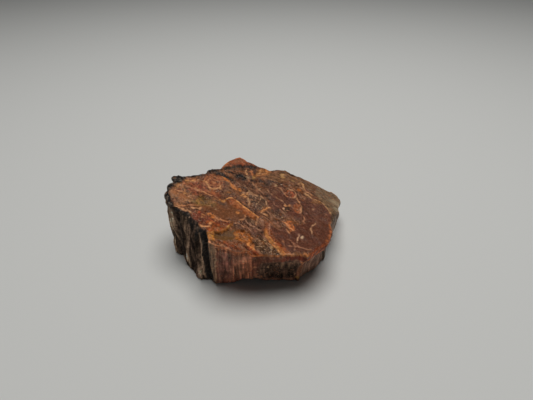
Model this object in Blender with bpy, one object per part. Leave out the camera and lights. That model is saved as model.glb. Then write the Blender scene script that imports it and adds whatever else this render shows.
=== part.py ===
"""Rough petrified wood.

A chunk broken from a silicified log: its broken cross-section is the top, black bark runs down its left
and the other sides are split along the grain. It is one natural solid. It is drawn in millimetres about
a point inside it, then set to its real size in metres, standing on Z = 0 with its middle on the origin.
X runs along its length, to the right, and Y to its back.
"""

import itertools
import math

import bmesh
import bpy
import numpy as np
from mathutils.geometry import delaunay_2d_cdt

for item in list(bpy.data.objects):
    bpy.data.objects.remove(item, do_unlink=True)

MM = 0.001

# Driving dimensions of the whole stone, in millimetres
WIDTH = 71.3
DEPTH = 62.0
HEIGHT = 29.2

# How finely it is faceted, in millimetres, and in rows up the sides
RIM_STEP = 1.6
BARK_STEP = 0.9
TOP_STEP = 2.1
UNDER_STEP = 3.4
WALL_ROWS = 12

# How far the facets' inner corners keep from the edges and lines that have corners of their own
RIM_CLEAR = 1.1
LEDGE_CLEAR = 1.0
FOOT_CLEAR = 1.8
FLAT_CLEAR = 1.2
GRID_WANDER = 0.3

# The edge of the top, seen from above, anticlockwise from the left: bark, front, right, back
RIM = [
    (-35.0, -3.5), (-34.0, -8.0), (-32.0, -11.0), (-28.5, -13.5), (-25.0, -14.5), (-22.0, -18.0),
    (-19.5, -21.0), (-17.0, -24.5), (-16.0, -28.0), (-14.0, -28.5), (-10.5, -29.0), (-7.5, -30.5),
    (-3.5, -30.5), (-1.5, -31.5), (4.5, -30.5), (9.0, -30.0), (15.0, -28.5), (17.5, -29.5),
    (20.5, -26.5), (23.0, -23.0), (25.5, -21.5), (27.0, -18.5), (28.0, -14.5), (28.0, -11.0),
    (28.5, -9.5), (30.5, -5.5), (33.0, 1.5), (36.0, 15.0), (35.0, 20.0), (33.5, 22.0),
    (31.5, 21.0), (25.5, 23.5), (18.5, 25.0), (14.5, 24.0), (12.0, 26.5), (5.0, 23.0),
    (2.0, 24.0), (-1.0, 25.0), (-6.0, 28.0), (-8.5, 30.5), (-12.0, 27.0), (-15.0, 22.0),
    (-16.5, 17.5), (-20.0, 15.0), (-22.5, 11.5), (-27.5, 9.0), (-31.0, 7.5), (-33.0, 6.5),
    (-34.0, 4.5), (-34.0, 2.0), (-35.0, 0.0),
]

# The edge of the underside, in the same order: it is undercut at the front and on the right
FOOT = [
    (-35.0, -2.5), (-34.0, -6.5), (-31.5, -9.0), (-29.5, -10.5), (-26.5, -14.0), (-24.5, -16.5),
    (-22.5, -20.5), (-20.0, -21.5), (-17.5, -23.0), (-15.5, -24.0), (-11.0, -24.0), (-8.0, -24.0),
    (-5.5, -24.0), (-2.5, -24.5), (2.0, -24.0), (5.0, -23.5), (10.5, -23.0), (15.5, -23.0),
    (17.5, -20.5), (20.5, -17.5), (24.0, -14.5), (27.0, -12.0), (28.0, -9.0), (28.5, -3.0),
    (30.0, 4.0), (31.5, 12.0), (29.5, 17.5), (25.0, 20.5), (17.0, 22.0), (10.5, 23.0),
    (4.0, 21.0), (-3.0, 22.5), (-9.0, 26.0), (-13.0, 23.5), (-15.5, 18.0), (-20.5, 13.5),
    (-25.5, 10.5), (-31.0, 8.0), (-34.0, 5.0), (-35.0, 1.0),
]

# Height of the foot edge off the surface by azimuth in degrees; the small arch at the front is at 264
FOOT_LIFT = [
    (20, 1.6), (45, 0.8), (75, 1.8), (105, 0.7), (140, 1.2), (175, 0.6), (200, 0.3), (232, 0.3),
    (250, 0.6), (257, 2.6), (264, 4.0), (272, 3.0), (280, 1.3), (300, 0.7), (330, 0.6), (350, 1.0),
]

# How far the sides stand out, in a belt high up and at mid-height, by azimuth in degrees
BELT = [(0, 0.3), (60, 0.6), (110, 0.2), (200, 0.1), (262, 0.0), (275, 0.4), (300, 0.7), (315, 1.3),
        (335, 1.2)]
WAIST = [(0, 0.6), (40, 1.0), (80, -0.6), (115, 0.8), (150, 0.2), (185, 0.0), (205, 0.3), (240, 0.3),
         (262, 0.2), (275, -1.2), (300, -1.5), (315, -1.0), (335, -0.6)]
BELT_SHARE = 0.8
BELT_HALF = 0.16

# Grooves of the bark: azimuth at the rim and at the foot, half width in degrees, depth; a ridge is below 0
BARK = [
    (144.0, 143.0, 1.8, 1.1), (152.0, 153.5, 2.4, 1.7), (159.0, 158.0, 1.3, -0.5), (163.5, 165.0, 1.8, 1.4),
    (175.0, 173.5, 2.6, 2.2), (184.0, 185.0, 1.6, 1.2), (193.5, 192.5, 2.2, -0.5), (201.5, 197.3, 2.2, 3.0),
    (209.5, 205.3, 2.4, -0.7), (220.0, 216.5, 3.2, 1.6), (224.8, 225.8, 1.0, -1.6), (230.8, 231.4, 2.0, 1.9),
    (239.0, 236.4, 1.2, -0.6),
]
BARK_START = 138.0
BARK_END = 238.0
BARK_AT_RIM = 0.45
BARK_RISE = 0.18

# Steps where the wood split along its grain: azimuth at the rim and at the foot, rise, spread in degrees;
# the side of the greater azimuth stands out
SPLITS = [
    (8.0, 10.0, -0.8, 9.0), (27.0, 24.0, 0.9, 7.0), (47.0, 50.0, -1.1, 8.0), (61.0, 60.0, 0.8, 5.0),
    (73.0, 76.0, 1.1, 7.0), (88.0, 86.0, -0.9, 6.0), (99.0, 101.0, 1.2, 7.0), (118.0, 116.0, -0.9, 5.0),
    (129.0, 131.0, -0.7, 5.0), (246.0, 245.0, -0.5, 3.5), (254.0, 252.0, 0.5, 4.0), (268.0, 266.5, -1.1, 6.0),
    (287.0, 285.0, 0.5, 4.0), (304.5, 303.0, 0.7, 5.0), (338.0, 336.0, 0.7, 6.0),
]
SPLIT_EDGE = 0.7
SPLIT_RISE = 0.25

# The top slopes down to the right; two bevels start at a point and fall away along a direction
TOP_LEVEL = 23.1
TOP_SLOPE = (-0.15, 0.04)
BEVELS = [((22.2, 6.2), (0.86, 0.51), 0.34), ((-7.5, 13.2), (0.25, 0.97), 0.13)]
BEVEL_ROUND = 1.0

# Ledges on the top: the side on the left of each line is higher, by a rise that fades with distance
LEDGES = {
    "plateau lip": ([(0.5, -12.0), (-2.0, -9.0), (-5.5, -6.0), (-9.0, -3.0), (-10.5, -2.5), (-14.5, -6.0)],
                    0.9, 8.0),
    "plateau end": ([(-6.5, -15.5), (-4.0, -13.5), (-2.0, -12.5), (0.5, -12.0)], 0.5, 3.0),
    "plateau front": ([(-18.5, -12.5), (-15.0, -15.0), (-13.5, -15.5), (-9.0, -15.0)], 0.5, 5.0),
    "scar lip": ([(-16.0, -22.5), (-13.0, -22.5), (-10.0, -19.5), (-8.5, -16.0)], 1.0, 5.0),
    "scar arc": ([(-7.5, -21.5), (-6.5, -20.0), (-5.0, -20.0), (-2.5, -22.0), (-1.0, -26.5), (-1.0, -29.5)],
                 0.7, 4.0),
    "lobe edge": ([(2.5, -12.0), (3.0, -20.5), (5.5, -25.0), (9.5, -29.5)], 0.8, 7.0),
    "curl": ([(17.5, -11.5), (17.0, -2.0), (15.5, 1.5)], 0.7, 3.0),
    "red patch": ([(14.5, 3.5), (12.0, 2.5), (9.0, 8.0), (7.0, 9.5)], 0.5, 4.0),
    "long vein": ([(-14.5, 11.0), (-9.0, 4.5), (-1.0, 2.0), (3.0, -1.0)], 0.6, 5.0),
    "right shelf": ([(28.5, -4.5), (25.5, 3.0), (19.0, 5.5)], 0.5, 5.0),
}
LEDGE_EDGE = 0.3
LEDGE_TAPER = 0.16
LEDGE_LEVEL = 0.35
LEDGE_STEP = 1.2
LEDGE_CRUMB = 1.9
LEDGE_WANDER = 0.45

# Growth rings cross the top in low ripples: direction across them, spacing and height
RING_WAY = (0.78, 0.63)
RING_SPACING = 3.6
RING_HEIGHT = 0.16
RING_LUMPS = 9.0
RING_WANDER = 1.4

# Seams: a line, the depth of the groove along it and its half width
SEAMS = {
    "black seam": ([(-22.0, 13.5), (-15.0, 13.0), (-10.5, 11.0), (-5.0, 12.0), (5.0, 10.5)], 1.1, 1.3),
    "lobe foot": ([(-15.0, 18.0), (-11.5, 20.0), (-4.5, 22.5), (0.0, 23.0)], 0.9, 1.2),
    "pit": ([(10.5, -5.0), (13.0, -3.5)], 1.1, 1.5),
    "scar bowl": ([(-13.5, -24.0), (-7.0, -23.0)], 0.7, 2.6),
}

# Lumps on the top: place, radius and height
LUMPS = [
    ((-32.5, 4.0), 3.2, 0.8), ((-33.5, -4.0), 2.4, 0.5), ((-8.5, 26.0), 4.5, 0.9), ((-2.5, -29.0), 2.4, 0.6),
    ((11.5, -15.0), 2.2, 0.5), ((-15.5, -24.5), 2.2, 0.5), ((-18.0, 6.5), 4.0, 0.5),
]

# Roughness of the broken surfaces: size of the lumps and their height
TOP_ROUGH = [(6.0, 0.45), (2.8, 0.22)]
WALL_ROUGH = [(9.0, 0.8), (4.0, 0.35)]
WALL_EASE = 0.16
GRAIN_STRETCH = 3.2

# The flat that it rests on, and one large facet inside it
FLAT = [
    (-21.0, 0.5), (-23.0, -7.0), (-15.5, -10.5), (-14.0, -15.5), (-5.0, -12.0), (3.0, -13.5), (12.0, -11.5),
    (15.0, -15.5), (19.5, -8.0), (17.0, -1.0), (21.5, 5.0), (14.0, 12.0), (6.0, 10.5), (0.5, 14.5),
    (-7.0, 11.0), (-13.5, 14.0), (-16.0, 6.0),
]
REST_FACET = [(-11.5, -8.0), (11.0, -8.5), (0.5, 9.5)]
FOOT_EASE = 3.0
FOOT_EASE_PER_LIFT = 1.6
HOLLOW_SIZE = 7.0
HOLLOW_DEPTH = 1.5
HOLLOW_EASE = 2.0


def azimuth(x, y):
    """Direction in plan, in degrees from 0 to 360."""
    return np.degrees(np.arctan2(y, x)) % 360.0


def turn_past(angle, centre):
    """How far an azimuth is past another, from -180 to 180 degrees."""
    return (angle - centre + 180.0) % 360.0 - 180.0


def by_azimuth(knots, angle):
    """A value that runs evenly between knots of azimuth and value."""
    places, values = zip(*sorted(knots))
    return np.interp(angle, places, values, period=360.0)


def outline_radius(outline, angle):
    """Distance from the middle to an outline, along each azimuth."""
    angle = np.asarray(angle, dtype=float)
    radius = np.zeros_like(angle)
    way = np.radians(angle)
    ahead = np.stack([np.cos(way), np.sin(way)], axis=-1)
    for start, end in zip(outline, outline[1:] + outline[:1]):
        start = np.array(start)
        side = np.array(end) - start
        across = ahead[..., 0] * side[1] - ahead[..., 1] * side[0]
        across = np.where(np.abs(across) < 1e-9, 1e-9, across)
        reach = (start[0] * side[1] - start[1] * side[0]) / across
        share = (start[0] * ahead[..., 1] - start[1] * ahead[..., 0]) / across
        hit = (share >= -1e-6) & (share <= 1 + 1e-6) & (reach > 0)
        radius = np.where(hit, np.maximum(radius, reach), radius)
    return radius


def lattice_slope(cell, seed):
    """A fixed direction for each point of a lattice."""
    mixed = cell[:, 0] * 73856093 ^ cell[:, 1] * 19349663 ^ cell[:, 2] * 83492791 ^ (seed + 1) * 50331653
    parts = []
    for turn in range(3):
        mixed = (mixed ^ (mixed >> 15)) * 668265263 + turn
        parts.append((mixed >> 7 & 0xFFFF) / 32767.5 - 1.0)
    return np.stack(parts, axis=1)


def lumps(points, size, seed):
    """Smooth noise of about -1 to 1, with lumps of the given size."""
    place = points / size
    cell = np.floor(place).astype(np.int64)
    part = place - cell
    ease = part ** 3 * (part * (part * 6 - 15) + 10)
    total = np.zeros(len(points))
    for corner in itertools.product((0, 1), repeat=3):
        weight = np.prod(np.where(corner, ease, 1 - ease), axis=1)
        slope = lattice_slope(cell + np.array(corner), seed)
        total += weight * np.sum(slope * (part - np.array(corner)), axis=1)
    return 1.5 * total


def ramp(value):
    """An even rise from 0 to 1."""
    value = np.clip(value, 0.0, 1.0)
    return value * value * (3 - 2 * value)


def beside(x, y, line):
    """Distance to a line, above 0 on its left, and the place along the line from 0 to 1."""
    lengths = [math.dist(a, b) for a, b in zip(line, line[1:])]
    nearest = np.full(np.shape(x), 1e9)
    signed = np.zeros(np.shape(x))
    place = np.zeros(np.shape(x))
    walked = 0.0
    for start, end, length in zip(line, line[1:], lengths):
        ux = (end[0] - start[0]) / length
        uy = (end[1] - start[1]) / length
        run = np.clip((x - start[0]) * ux + (y - start[1]) * uy, 0, length)
        off_x = x - start[0] - run * ux
        off_y = y - start[1] - run * uy
        gap = np.hypot(off_x, off_y)
        left = ux * (y - start[1]) - uy * (x - start[0])
        closer = gap - 1e-4 * np.abs(left) < nearest
        nearest = np.where(closer, gap - 1e-4 * np.abs(left), nearest)
        signed = np.where(closer, np.where(left < 0, -gap, gap), signed)
        place = np.where(closer, (walked + run) / sum(lengths), place)
        walked += length
    return signed, place


def crumble(line, number):
    """A line with small wandering steps between its ends."""
    points = np.array(spaced(line, LEDGE_STEP))
    flat = np.concatenate([points, np.zeros((len(points), 1))], axis=1)
    shift = np.stack([lumps(flat, LEDGE_CRUMB, 40 + number), lumps(flat, LEDGE_CRUMB, 60 + number)], axis=1)
    shift[0] = shift[-1] = 0
    return [tuple(p) for p in points + LEDGE_WANDER * shift]


def top_height(x, y):
    """Height of the broken top over a place in plan."""
    height = TOP_LEVEL + TOP_SLOPE[0] * x + TOP_SLOPE[1] * y
    for start, way, fall in BEVELS:
        past = (x - start[0]) * way[0] + (y - start[1]) * way[1]
        height = height - fall * (past + np.hypot(past, BEVEL_ROUND)) / 2
    for number, (line, rise, spread) in enumerate(LEDGES.values()):
        side, place = beside(x, y, crumble(line, number))
        taper = ramp(place / LEDGE_TAPER) * ramp((1 - place) / LEDGE_TAPER)
        step = ramp(0.5 + side / (2 * LEDGE_EDGE)) - LEDGE_LEVEL
        height = height + rise * taper * step * np.exp(-np.abs(side) / spread)
    for line, depth, half in SEAMS.values():
        side, _ = beside(x, y, line)
        height = height - depth * np.exp(-(side / half) ** 2)
    for (px, py), radius, lift in LUMPS:
        height = height + lift * np.exp(-((x - px) ** 2 + (y - py) ** 2) / radius ** 2)
    flat = np.stack([x, y, np.zeros_like(x)], axis=1)
    across = x * RING_WAY[0] + y * RING_WAY[1] + RING_WANDER * lumps(flat, RING_LUMPS, 5)
    height = height + RING_HEIGHT * np.sin(2 * np.pi * across / RING_SPACING)
    for number, (size, rough) in enumerate(TOP_ROUGH):
        height = height + rough * lumps(flat, size, number)
    return height


def bark_depth(angle, share):
    """Depth of the bark's grooves at an azimuth and a share of the height."""
    depth = np.zeros(np.shape(angle))
    for rim_angle, foot_angle, half, deep in BARK:
        past = turn_past(angle, foot_angle + (rim_angle - foot_angle) * share)
        depth = depth + deep * np.exp(-((past / half) ** 2))
    return depth * (BARK_AT_RIM + (1 - BARK_AT_RIM) * ramp((1 - share) / BARK_RISE))


def split_rise(angle, share):
    """How far the splits stand out at an azimuth and a share of the height."""
    rise = np.zeros(np.shape(angle))
    for rim_angle, foot_angle, step, spread in SPLITS:
        past = turn_past(angle, foot_angle + (rim_angle - foot_angle) * share)
        rise = rise + step * (ramp(0.5 + past / (2 * SPLIT_EDGE)) - 0.5) * np.exp(-np.abs(past) / spread)
    return rise * ramp((1 - share) / SPLIT_RISE)


def wall(angle, share):
    """Points of the sides, at an azimuth and a share of the height from foot to rim."""
    way = np.radians(angle)
    rim = outline_radius(RIM, angle)
    foot = outline_radius(FOOT, angle)
    edge = rim - bark_depth(angle, 1.0)
    rim_height = top_height(edge * np.cos(way), edge * np.sin(way))
    foot_height = by_azimuth(FOOT_LIFT, angle)
    height = foot_height + (rim_height - foot_height) * share
    radius = foot + (rim - foot) * share
    belt = np.exp(-((share - BELT_SHARE) / BELT_HALF) ** 2) * ramp((1 - share) / 0.1)
    radius = radius + by_azimuth(BELT, angle) * belt
    radius = radius + by_azimuth(WAIST, angle) * np.sin(np.pi * share)
    radius = radius - bark_depth(angle, share) + split_rise(angle, share)
    place = np.stack([radius * np.cos(way), radius * np.sin(way), height / GRAIN_STRETCH], axis=1)
    for number, (size, rough) in enumerate(WALL_ROUGH):
        radius = radius + rough * lumps(place, size, 10 + number) * ramp((1.05 - share) / WALL_EASE)
    return np.stack([radius * np.cos(way), radius * np.sin(way), height], axis=1)


def inside(x, y, outline):
    """Whether each place is inside an outline."""
    result = np.zeros(np.shape(x), dtype=bool)
    for (ax, ay), (bx, by) in zip(outline, outline[1:] + outline[:1]):
        spans = (ay > y) != (by > y)
        rise = by - ay if by != ay else 1e-9
        result ^= spans & (x < ax + (y - ay) * (bx - ax) / rise)
    return result


def under_height(x, y):
    """Height of the underside: 0 on the flat, and up into shallow hollows and to the foot edge around it."""
    angle = azimuth(x, y)
    edge = outline_radius(FOOT, angle)
    lift = by_azimuth(FOOT_LIFT, angle)
    inward = edge - np.hypot(x, y)
    height = lift * (1 - ramp(inward / (FOOT_EASE + FOOT_EASE_PER_LIFT * lift)))
    flat = np.stack([x, y, np.zeros_like(x)], axis=1)
    hollow = np.clip(0.5 + lumps(flat, HOLLOW_SIZE, 20), 0, 1)
    height = height + HOLLOW_DEPTH * hollow * ramp(inward / HOLLOW_EASE)
    return np.where(inside(x, y, FLAT), 0.0, height)


def open_grid(step, outline, margin, lines, clear):
    """Staggered places inside an outline, clear of its edge and of some lines."""
    xs = np.arange(-WIDTH / 2, WIDTH / 2, step)
    ys = np.arange(-DEPTH / 2, DEPTH / 2, step * 0.87)
    x, y = np.meshgrid(xs, ys)
    x = x + np.where(np.arange(len(ys)) % 2, step / 2, 0)[:, None]
    x, y = x.ravel(), y.ravel()
    flat = np.stack([x, y, np.zeros_like(x)], axis=1)
    x = x + GRID_WANDER * step * lumps(flat, step * 1.7, 30)
    y = y + GRID_WANDER * step * lumps(flat, step * 1.7, 31)
    ring = outline + outline[:1]
    keep = inside(x, y, outline) & (np.abs(beside(x, y, ring)[0]) > margin)
    for line in lines:
        keep &= np.abs(beside(x, y, line)[0]) > clear
    return [tuple(p) for p in np.stack([x, y], axis=1)[keep]]


def spaced(line, step):
    """Places along a line, with its corners, no further apart than a step."""
    points = []
    for start, end in zip(line, line[1:]):
        count = max(1, math.ceil(math.dist(start, end) / step))
        for i in range(count):
            share = i / count
            points.append(tuple(a + (b - a) * share for a, b in zip(start, end)))
    return points + [line[-1]]


def ledge_sites(line):
    """Two rows of places, at the top and at the bottom of a ledge."""
    sites = []
    for before, here, after in zip(line[:1] + line, line, line[1:] + line[-1:]):
        run = math.dist(before, after)
        normal = ((before[1] - after[1]) / run, (after[0] - before[0]) / run)
        for way in (-1, 1):
            sites.append(tuple(h + way * n * LEDGE_EDGE for h, n in zip(here, normal)))
    return sites


def fill(edge, places, lines=()):
    """Triangles that fill a closed edge: places first on the edge, then inside, with some joined as lines."""
    points = [tuple(p) for p in edge] + list(places)
    joined = []
    for line in lines:
        first = len(points)
        points += line
        joined += [(first + i, first + (i + 1) % len(line)) for i in range(len(line))]
    found, _, faces, _, _, _ = delaunay_2d_cdt(points, joined, [list(range(len(edge)))], 1, 1e-6)
    return [tuple(p) for p in found], faces


def rim_azimuths():
    """The azimuths of the columns of the sides: every corner of the rim, and places between."""
    angles = []
    for start, end in zip(RIM, RIM[1:] + RIM[:1]):
        bark = BARK_START < azimuth(start[0] + end[0], start[1] + end[1]) < BARK_END
        points = spaced([start, end], BARK_STEP if bark else RIM_STEP)[:-1]
        angles += [azimuth(*point) for point in points]
    return np.sort(np.array(angles))


def build_mesh():
    """The closed surface, in millimetres, and whether each face is bark."""
    angles = rim_azimuths()
    count = len(angles)
    rows = [wall(angles, np.full(count, row / WALL_ROWS)) for row in range(WALL_ROWS + 1)]
    bm = bmesh.new()
    rings = [[bm.verts.new(point) for point in row] for row in rows]
    for low, high in zip(rings, rings[1:]):
        for i in range(count):
            j = (i + 1) % count
            bm.faces.new((low[i], low[j], high[j], high[i]))

    ledges = [crumble(line, number) for number, (line, _, _) in enumerate(LEDGES.values())]
    sites = [site for line in ledges for site in ledge_sites(line)]
    places = open_grid(TOP_STEP, RIM, RIM_CLEAR, ledges, LEDGE_CLEAR) + sites
    cover(bm, rings[-1], fill(rows[-1][:, :2], places), top_height)

    flat_ring = FLAT + FLAT[:1]
    places = open_grid(UNDER_STEP, FOOT, FOOT_CLEAR, [flat_ring], FLAT_CLEAR)
    places = [p for p in places if not inside(np.array([p[0]]), np.array([p[1]]), FLAT)[0]]
    cover(bm, rings[0], fill(rows[0][:, :2], places, [FLAT, REST_FACET]), under_height)
    bmesh.ops.recalc_face_normals(bm, faces=bm.faces)
    bmesh.ops.triangulate(bm, faces=bm.faces)
    return bm


def cover(bm, ring, filled, height_at):
    """Close one end of the sides with a filled sheet, at heights given by a function."""
    found, faces = filled
    x = np.array([p[0] for p in found])
    y = np.array([p[1] for p in found])
    heights = height_at(x, y)
    edge = len(ring)
    used = sorted({i for face in faces for i in face if i >= edge})
    verts = dict(enumerate(ring))
    verts.update({i: bm.verts.new((x[i], y[i], heights[i])) for i in used})
    for face in faces:
        bm.faces.new([verts[i] for i in face])


def fit(bm):
    """Set the surface to the driving dimensions, in metres, standing on 0 with its middle on the origin."""
    points = np.array([vert.co for vert in bm.verts])
    low, high = points.min(axis=0), points.max(axis=0)
    size = np.array([WIDTH, DEPTH, HEIGHT])
    middle = np.array([(low[0] + high[0]) / 2, (low[1] + high[1]) / 2, low[2]])
    for vert, point in zip(bm.verts, (points - middle) / (high - low) * size * MM):
        vert.co = point


def finish(name, colour, roughness):
    """A material of one colour."""
    material = bpy.data.materials.new(name)
    material.use_nodes = True
    shader = material.node_tree.nodes["Principled BSDF"]
    shader.inputs["Base Color"].default_value = (*colour, 1.0)
    shader.inputs["Roughness"].default_value = roughness
    shader.inputs["Metallic"].default_value = 0.0
    return material


def make_stone():
    """The stone, red-brown where it is broken and dark where it has bark."""
    bm = build_mesh()
    bm.normal_update()
    for face in bm.faces:
        centre = face.calc_center_median()
        angle = azimuth(centre.x, centre.y)
        face.material_index = int(abs(face.normal.z) < 0.6 and BARK_START < angle < BARK_END)
    fit(bm)
    mesh = bpy.data.meshes.new("petrified_wood")
    bm.to_mesh(mesh)
    bm.free()
    mesh.materials.append(finish("red_agate", (0.13, 0.045, 0.022), 0.4))
    mesh.materials.append(finish("dark_bark", (0.035, 0.026, 0.02), 0.75))
    mesh.shade_smooth()
    mesh.set_sharp_from_angle(angle=math.radians(28))
    stone = bpy.data.objects.new("petrified_wood", mesh)
    bpy.context.scene.collection.objects.link(stone)
    return stone


make_stone()
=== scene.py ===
"""Rough petrified wood, dressed: the stone's fine surface over its solid, its colours, and a plain studio.

The surface is drawn in millimetres about the same point as the solid, then set in metres in its frame.
"""

import itertools
import math

import bpy
import numpy as np
from mathutils.geometry import delaunay_2d_cdt
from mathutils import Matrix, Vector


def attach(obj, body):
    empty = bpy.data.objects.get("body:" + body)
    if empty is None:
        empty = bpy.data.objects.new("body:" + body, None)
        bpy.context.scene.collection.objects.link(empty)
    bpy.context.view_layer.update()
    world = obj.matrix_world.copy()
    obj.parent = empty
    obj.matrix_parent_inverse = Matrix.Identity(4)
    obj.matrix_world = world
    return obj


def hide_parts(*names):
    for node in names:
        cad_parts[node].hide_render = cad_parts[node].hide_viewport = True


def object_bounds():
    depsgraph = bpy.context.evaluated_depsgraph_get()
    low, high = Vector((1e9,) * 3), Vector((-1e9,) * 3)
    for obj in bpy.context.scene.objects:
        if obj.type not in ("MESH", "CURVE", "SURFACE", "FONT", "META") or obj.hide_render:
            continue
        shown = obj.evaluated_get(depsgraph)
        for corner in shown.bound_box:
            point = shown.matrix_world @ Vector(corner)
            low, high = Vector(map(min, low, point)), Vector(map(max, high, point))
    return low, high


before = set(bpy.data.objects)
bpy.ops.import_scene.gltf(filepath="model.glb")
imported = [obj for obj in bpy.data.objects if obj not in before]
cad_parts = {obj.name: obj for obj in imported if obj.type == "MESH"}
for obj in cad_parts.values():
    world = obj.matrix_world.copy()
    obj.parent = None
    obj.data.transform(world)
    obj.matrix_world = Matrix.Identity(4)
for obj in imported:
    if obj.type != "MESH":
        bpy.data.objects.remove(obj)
cad_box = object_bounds()

# The drawn surface: the middle of its plan, and its size, which is fitted to the solid's box
DRAWN_MIDDLE = (0.362, -0.493)
DRAWN_SIZE = (71.29, 62.02, 29.23)

# How finely the surface is meshed, in millimetres and in rows up the sides; the azimuths that the photograph
# shows; and how the rim is rounded off
TOP_STEP = 0.26
SIDE_STEP = 0.26
BACK_STEP = 0.5
UNDER_STEP = 0.7
WALL_ROWS = 58
RIM_CLEAR = 0.2
FOOT_CLEAR = 0.8
ROW_SPACING = 0.87
REACH = (37.0, 33.0)
SEEN = (186.0, 320.0)
RIM_IN = 0.3
RIM_DROP = 0.22
RELIEF_EASE = 0.8

# The edge of the top, seen from above, anticlockwise from the left: bark, front, right, back
RIM = [
    (-35.0, -3.5), (-34.0, -8.0), (-32.0, -11.0), (-28.5, -13.5), (-25.0, -14.5), (-22.0, -18.0),
    (-19.5, -21.0), (-17.0, -24.5), (-16.0, -28.0), (-14.0, -28.5), (-10.5, -29.0), (-7.5, -30.5),
    (-3.5, -30.5), (-1.5, -31.5), (4.5, -30.5), (9.0, -30.0), (15.0, -28.5), (17.5, -29.5),
    (20.5, -26.5), (23.0, -23.0), (25.5, -21.5), (27.0, -18.5), (28.0, -14.5), (28.0, -11.0),
    (28.5, -9.5), (30.5, -5.5), (33.0, 1.5), (36.0, 15.0), (35.0, 20.0), (33.5, 22.0),
    (31.5, 21.0), (25.5, 23.5), (18.5, 25.0), (14.5, 24.0), (12.0, 26.5), (5.0, 23.0),
    (2.0, 24.0), (-1.0, 25.0), (-4.9, 27.1), (-6.7, 29.3), (-8.6, 30.3), (-10.4, 29.0),
    (-12.0, 27.0), (-15.0, 22.0),
    (-16.5, 17.5), (-20.0, 15.0), (-22.5, 11.5), (-27.5, 9.0), (-31.0, 7.5), (-33.0, 6.5),
    (-34.0, 4.5), (-34.0, 2.0), (-35.0, 0.0),
]

# The edge of the underside, in the same order: it is undercut at the front and on the right
FOOT = [
    (-34.8, -2.5), (-33.6, -6.4), (-31.1, -8.9), (-29.1, -10.3), (-28.0, -14.4), (-26.1, -17.2),
    (-23.4, -20.9), (-20.6, -22.0), (-17.7, -23.2), (-15.5, -24.0), (-11.0, -24.0), (-8.0, -24.0),
    (-5.5, -24.0), (-2.5, -24.5), (2.0, -24.0), (5.0, -23.5), (10.5, -23.0), (15.5, -23.0),
    (16.6, -21.8), (20.2, -17.9), (23.4, -14.4), (26.2, -11.5), (27.2, -9.0), (28.2, -3.0),
    (30.0, 4.0), (31.5, 12.0), (29.5, 17.5), (25.0, 20.5), (17.0, 22.0), (10.5, 23.0),
    (4.0, 21.0), (-3.0, 22.5), (-9.0, 26.0), (-13.0, 23.5), (-15.5, 18.0), (-20.5, 13.5),
    (-25.5, 10.5), (-31.0, 8.0), (-34.0, 5.0), (-35.0, 1.0),
]

# Height of the foot edge off the surface by azimuth in degrees; the small arch at the front is at 264
FOOT_LIFT = [
    (20, 1.6), (45, 0.8), (75, 1.8), (105, 0.7), (140, 1.2), (175, 0.6), (200, 0.3), (232, 0.3),
    (250, 0.6), (257, 2.6), (264, 4.0), (272, 3.0), (280, 1.3), (300, 0.7), (330, 0.6), (350, 1.0),
]

# How far the sides stand out, in a belt high up and at mid-height, by azimuth in degrees
BELT = [(0, 0.3), (60, 0.6), (110, 0.2), (183, -0.4), (197, -0.4), (204, 0.1), (262, 0.0), (275, 0.4),
        (300, 0.7), (315, 1.0), (335, 0.7)]
WAIST = [(0, 0.6), (40, 1.0), (80, -0.6), (115, 0.8), (150, 0.2), (185, -0.1), (197, -0.1), (205, 0.3),
         (240, 0.3), (262, 0.2), (275, -1.2), (300, -1.5), (315, -1.5), (335, -1.3), (350, -0.2)]
BELT_SHARE = 0.8
BELT_HALF = 0.16

# Grooves of the bark: azimuth at the rim and at the foot, half width in degrees, depth; a ridge is below 0
BARK = [
    (144.0, 143.0, 1.8, 1.1), (152.0, 153.5, 2.4, 1.7), (159.0, 158.0, 1.3, -0.5), (163.5, 165.0, 1.8, 1.4),
    (175.0, 173.5, 2.6, 2.2), (184.0, 185.0, 1.6, 1.2), (193.5, 192.5, 2.2, -0.5), (201.5, 197.3, 2.2, 3.0),
    (209.5, 205.3, 2.4, -0.7), (220.0, 216.5, 3.2, 1.6), (224.8, 225.8, 1.0, -1.6), (230.8, 231.4, 2.0, 1.9),
    (239.0, 236.4, 1.2, -0.6),
]
BARK_AT_ENDS = 0.45
BARK_RISE = 0.18

# Steps where the wood split along its grain: azimuth at the rim and at the foot, rise, spread in degrees
SPLITS = [
    (8.0, 10.0, -0.8, 9.0), (27.0, 24.0, 0.9, 7.0), (47.0, 50.0, -1.1, 8.0), (61.0, 60.0, 0.8, 5.0),
    (73.0, 76.0, 1.1, 7.0), (88.0, 86.0, -0.9, 6.0), (99.0, 101.0, 1.2, 7.0), (118.0, 116.0, -0.9, 5.0),
    (129.0, 131.0, -0.7, 5.0), (246.0, 245.0, -0.5, 3.5), (254.0, 252.0, 0.5, 4.0), (268.0, 266.5, -1.1, 6.0),
    (287.0, 285.0, 0.5, 4.0), (304.5, 303.0, 0.7, 5.0), (338.0, 336.0, 0.7, 6.0),
]
SPLIT_EDGE = 0.5
SPLIT_RISE = 0.25

# The top slopes down to the right; two bevels start at a point and fall away along a direction
TOP_LEVEL = 23.1
TOP_SLOPE = (-0.15, 0.04)
BEVELS = [((22.2, 6.2), (0.86, 0.51), 0.34), ((-7.5, 13.2), (0.25, 0.97), 0.13)]
BEVEL_ROUND = 1.0

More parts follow.
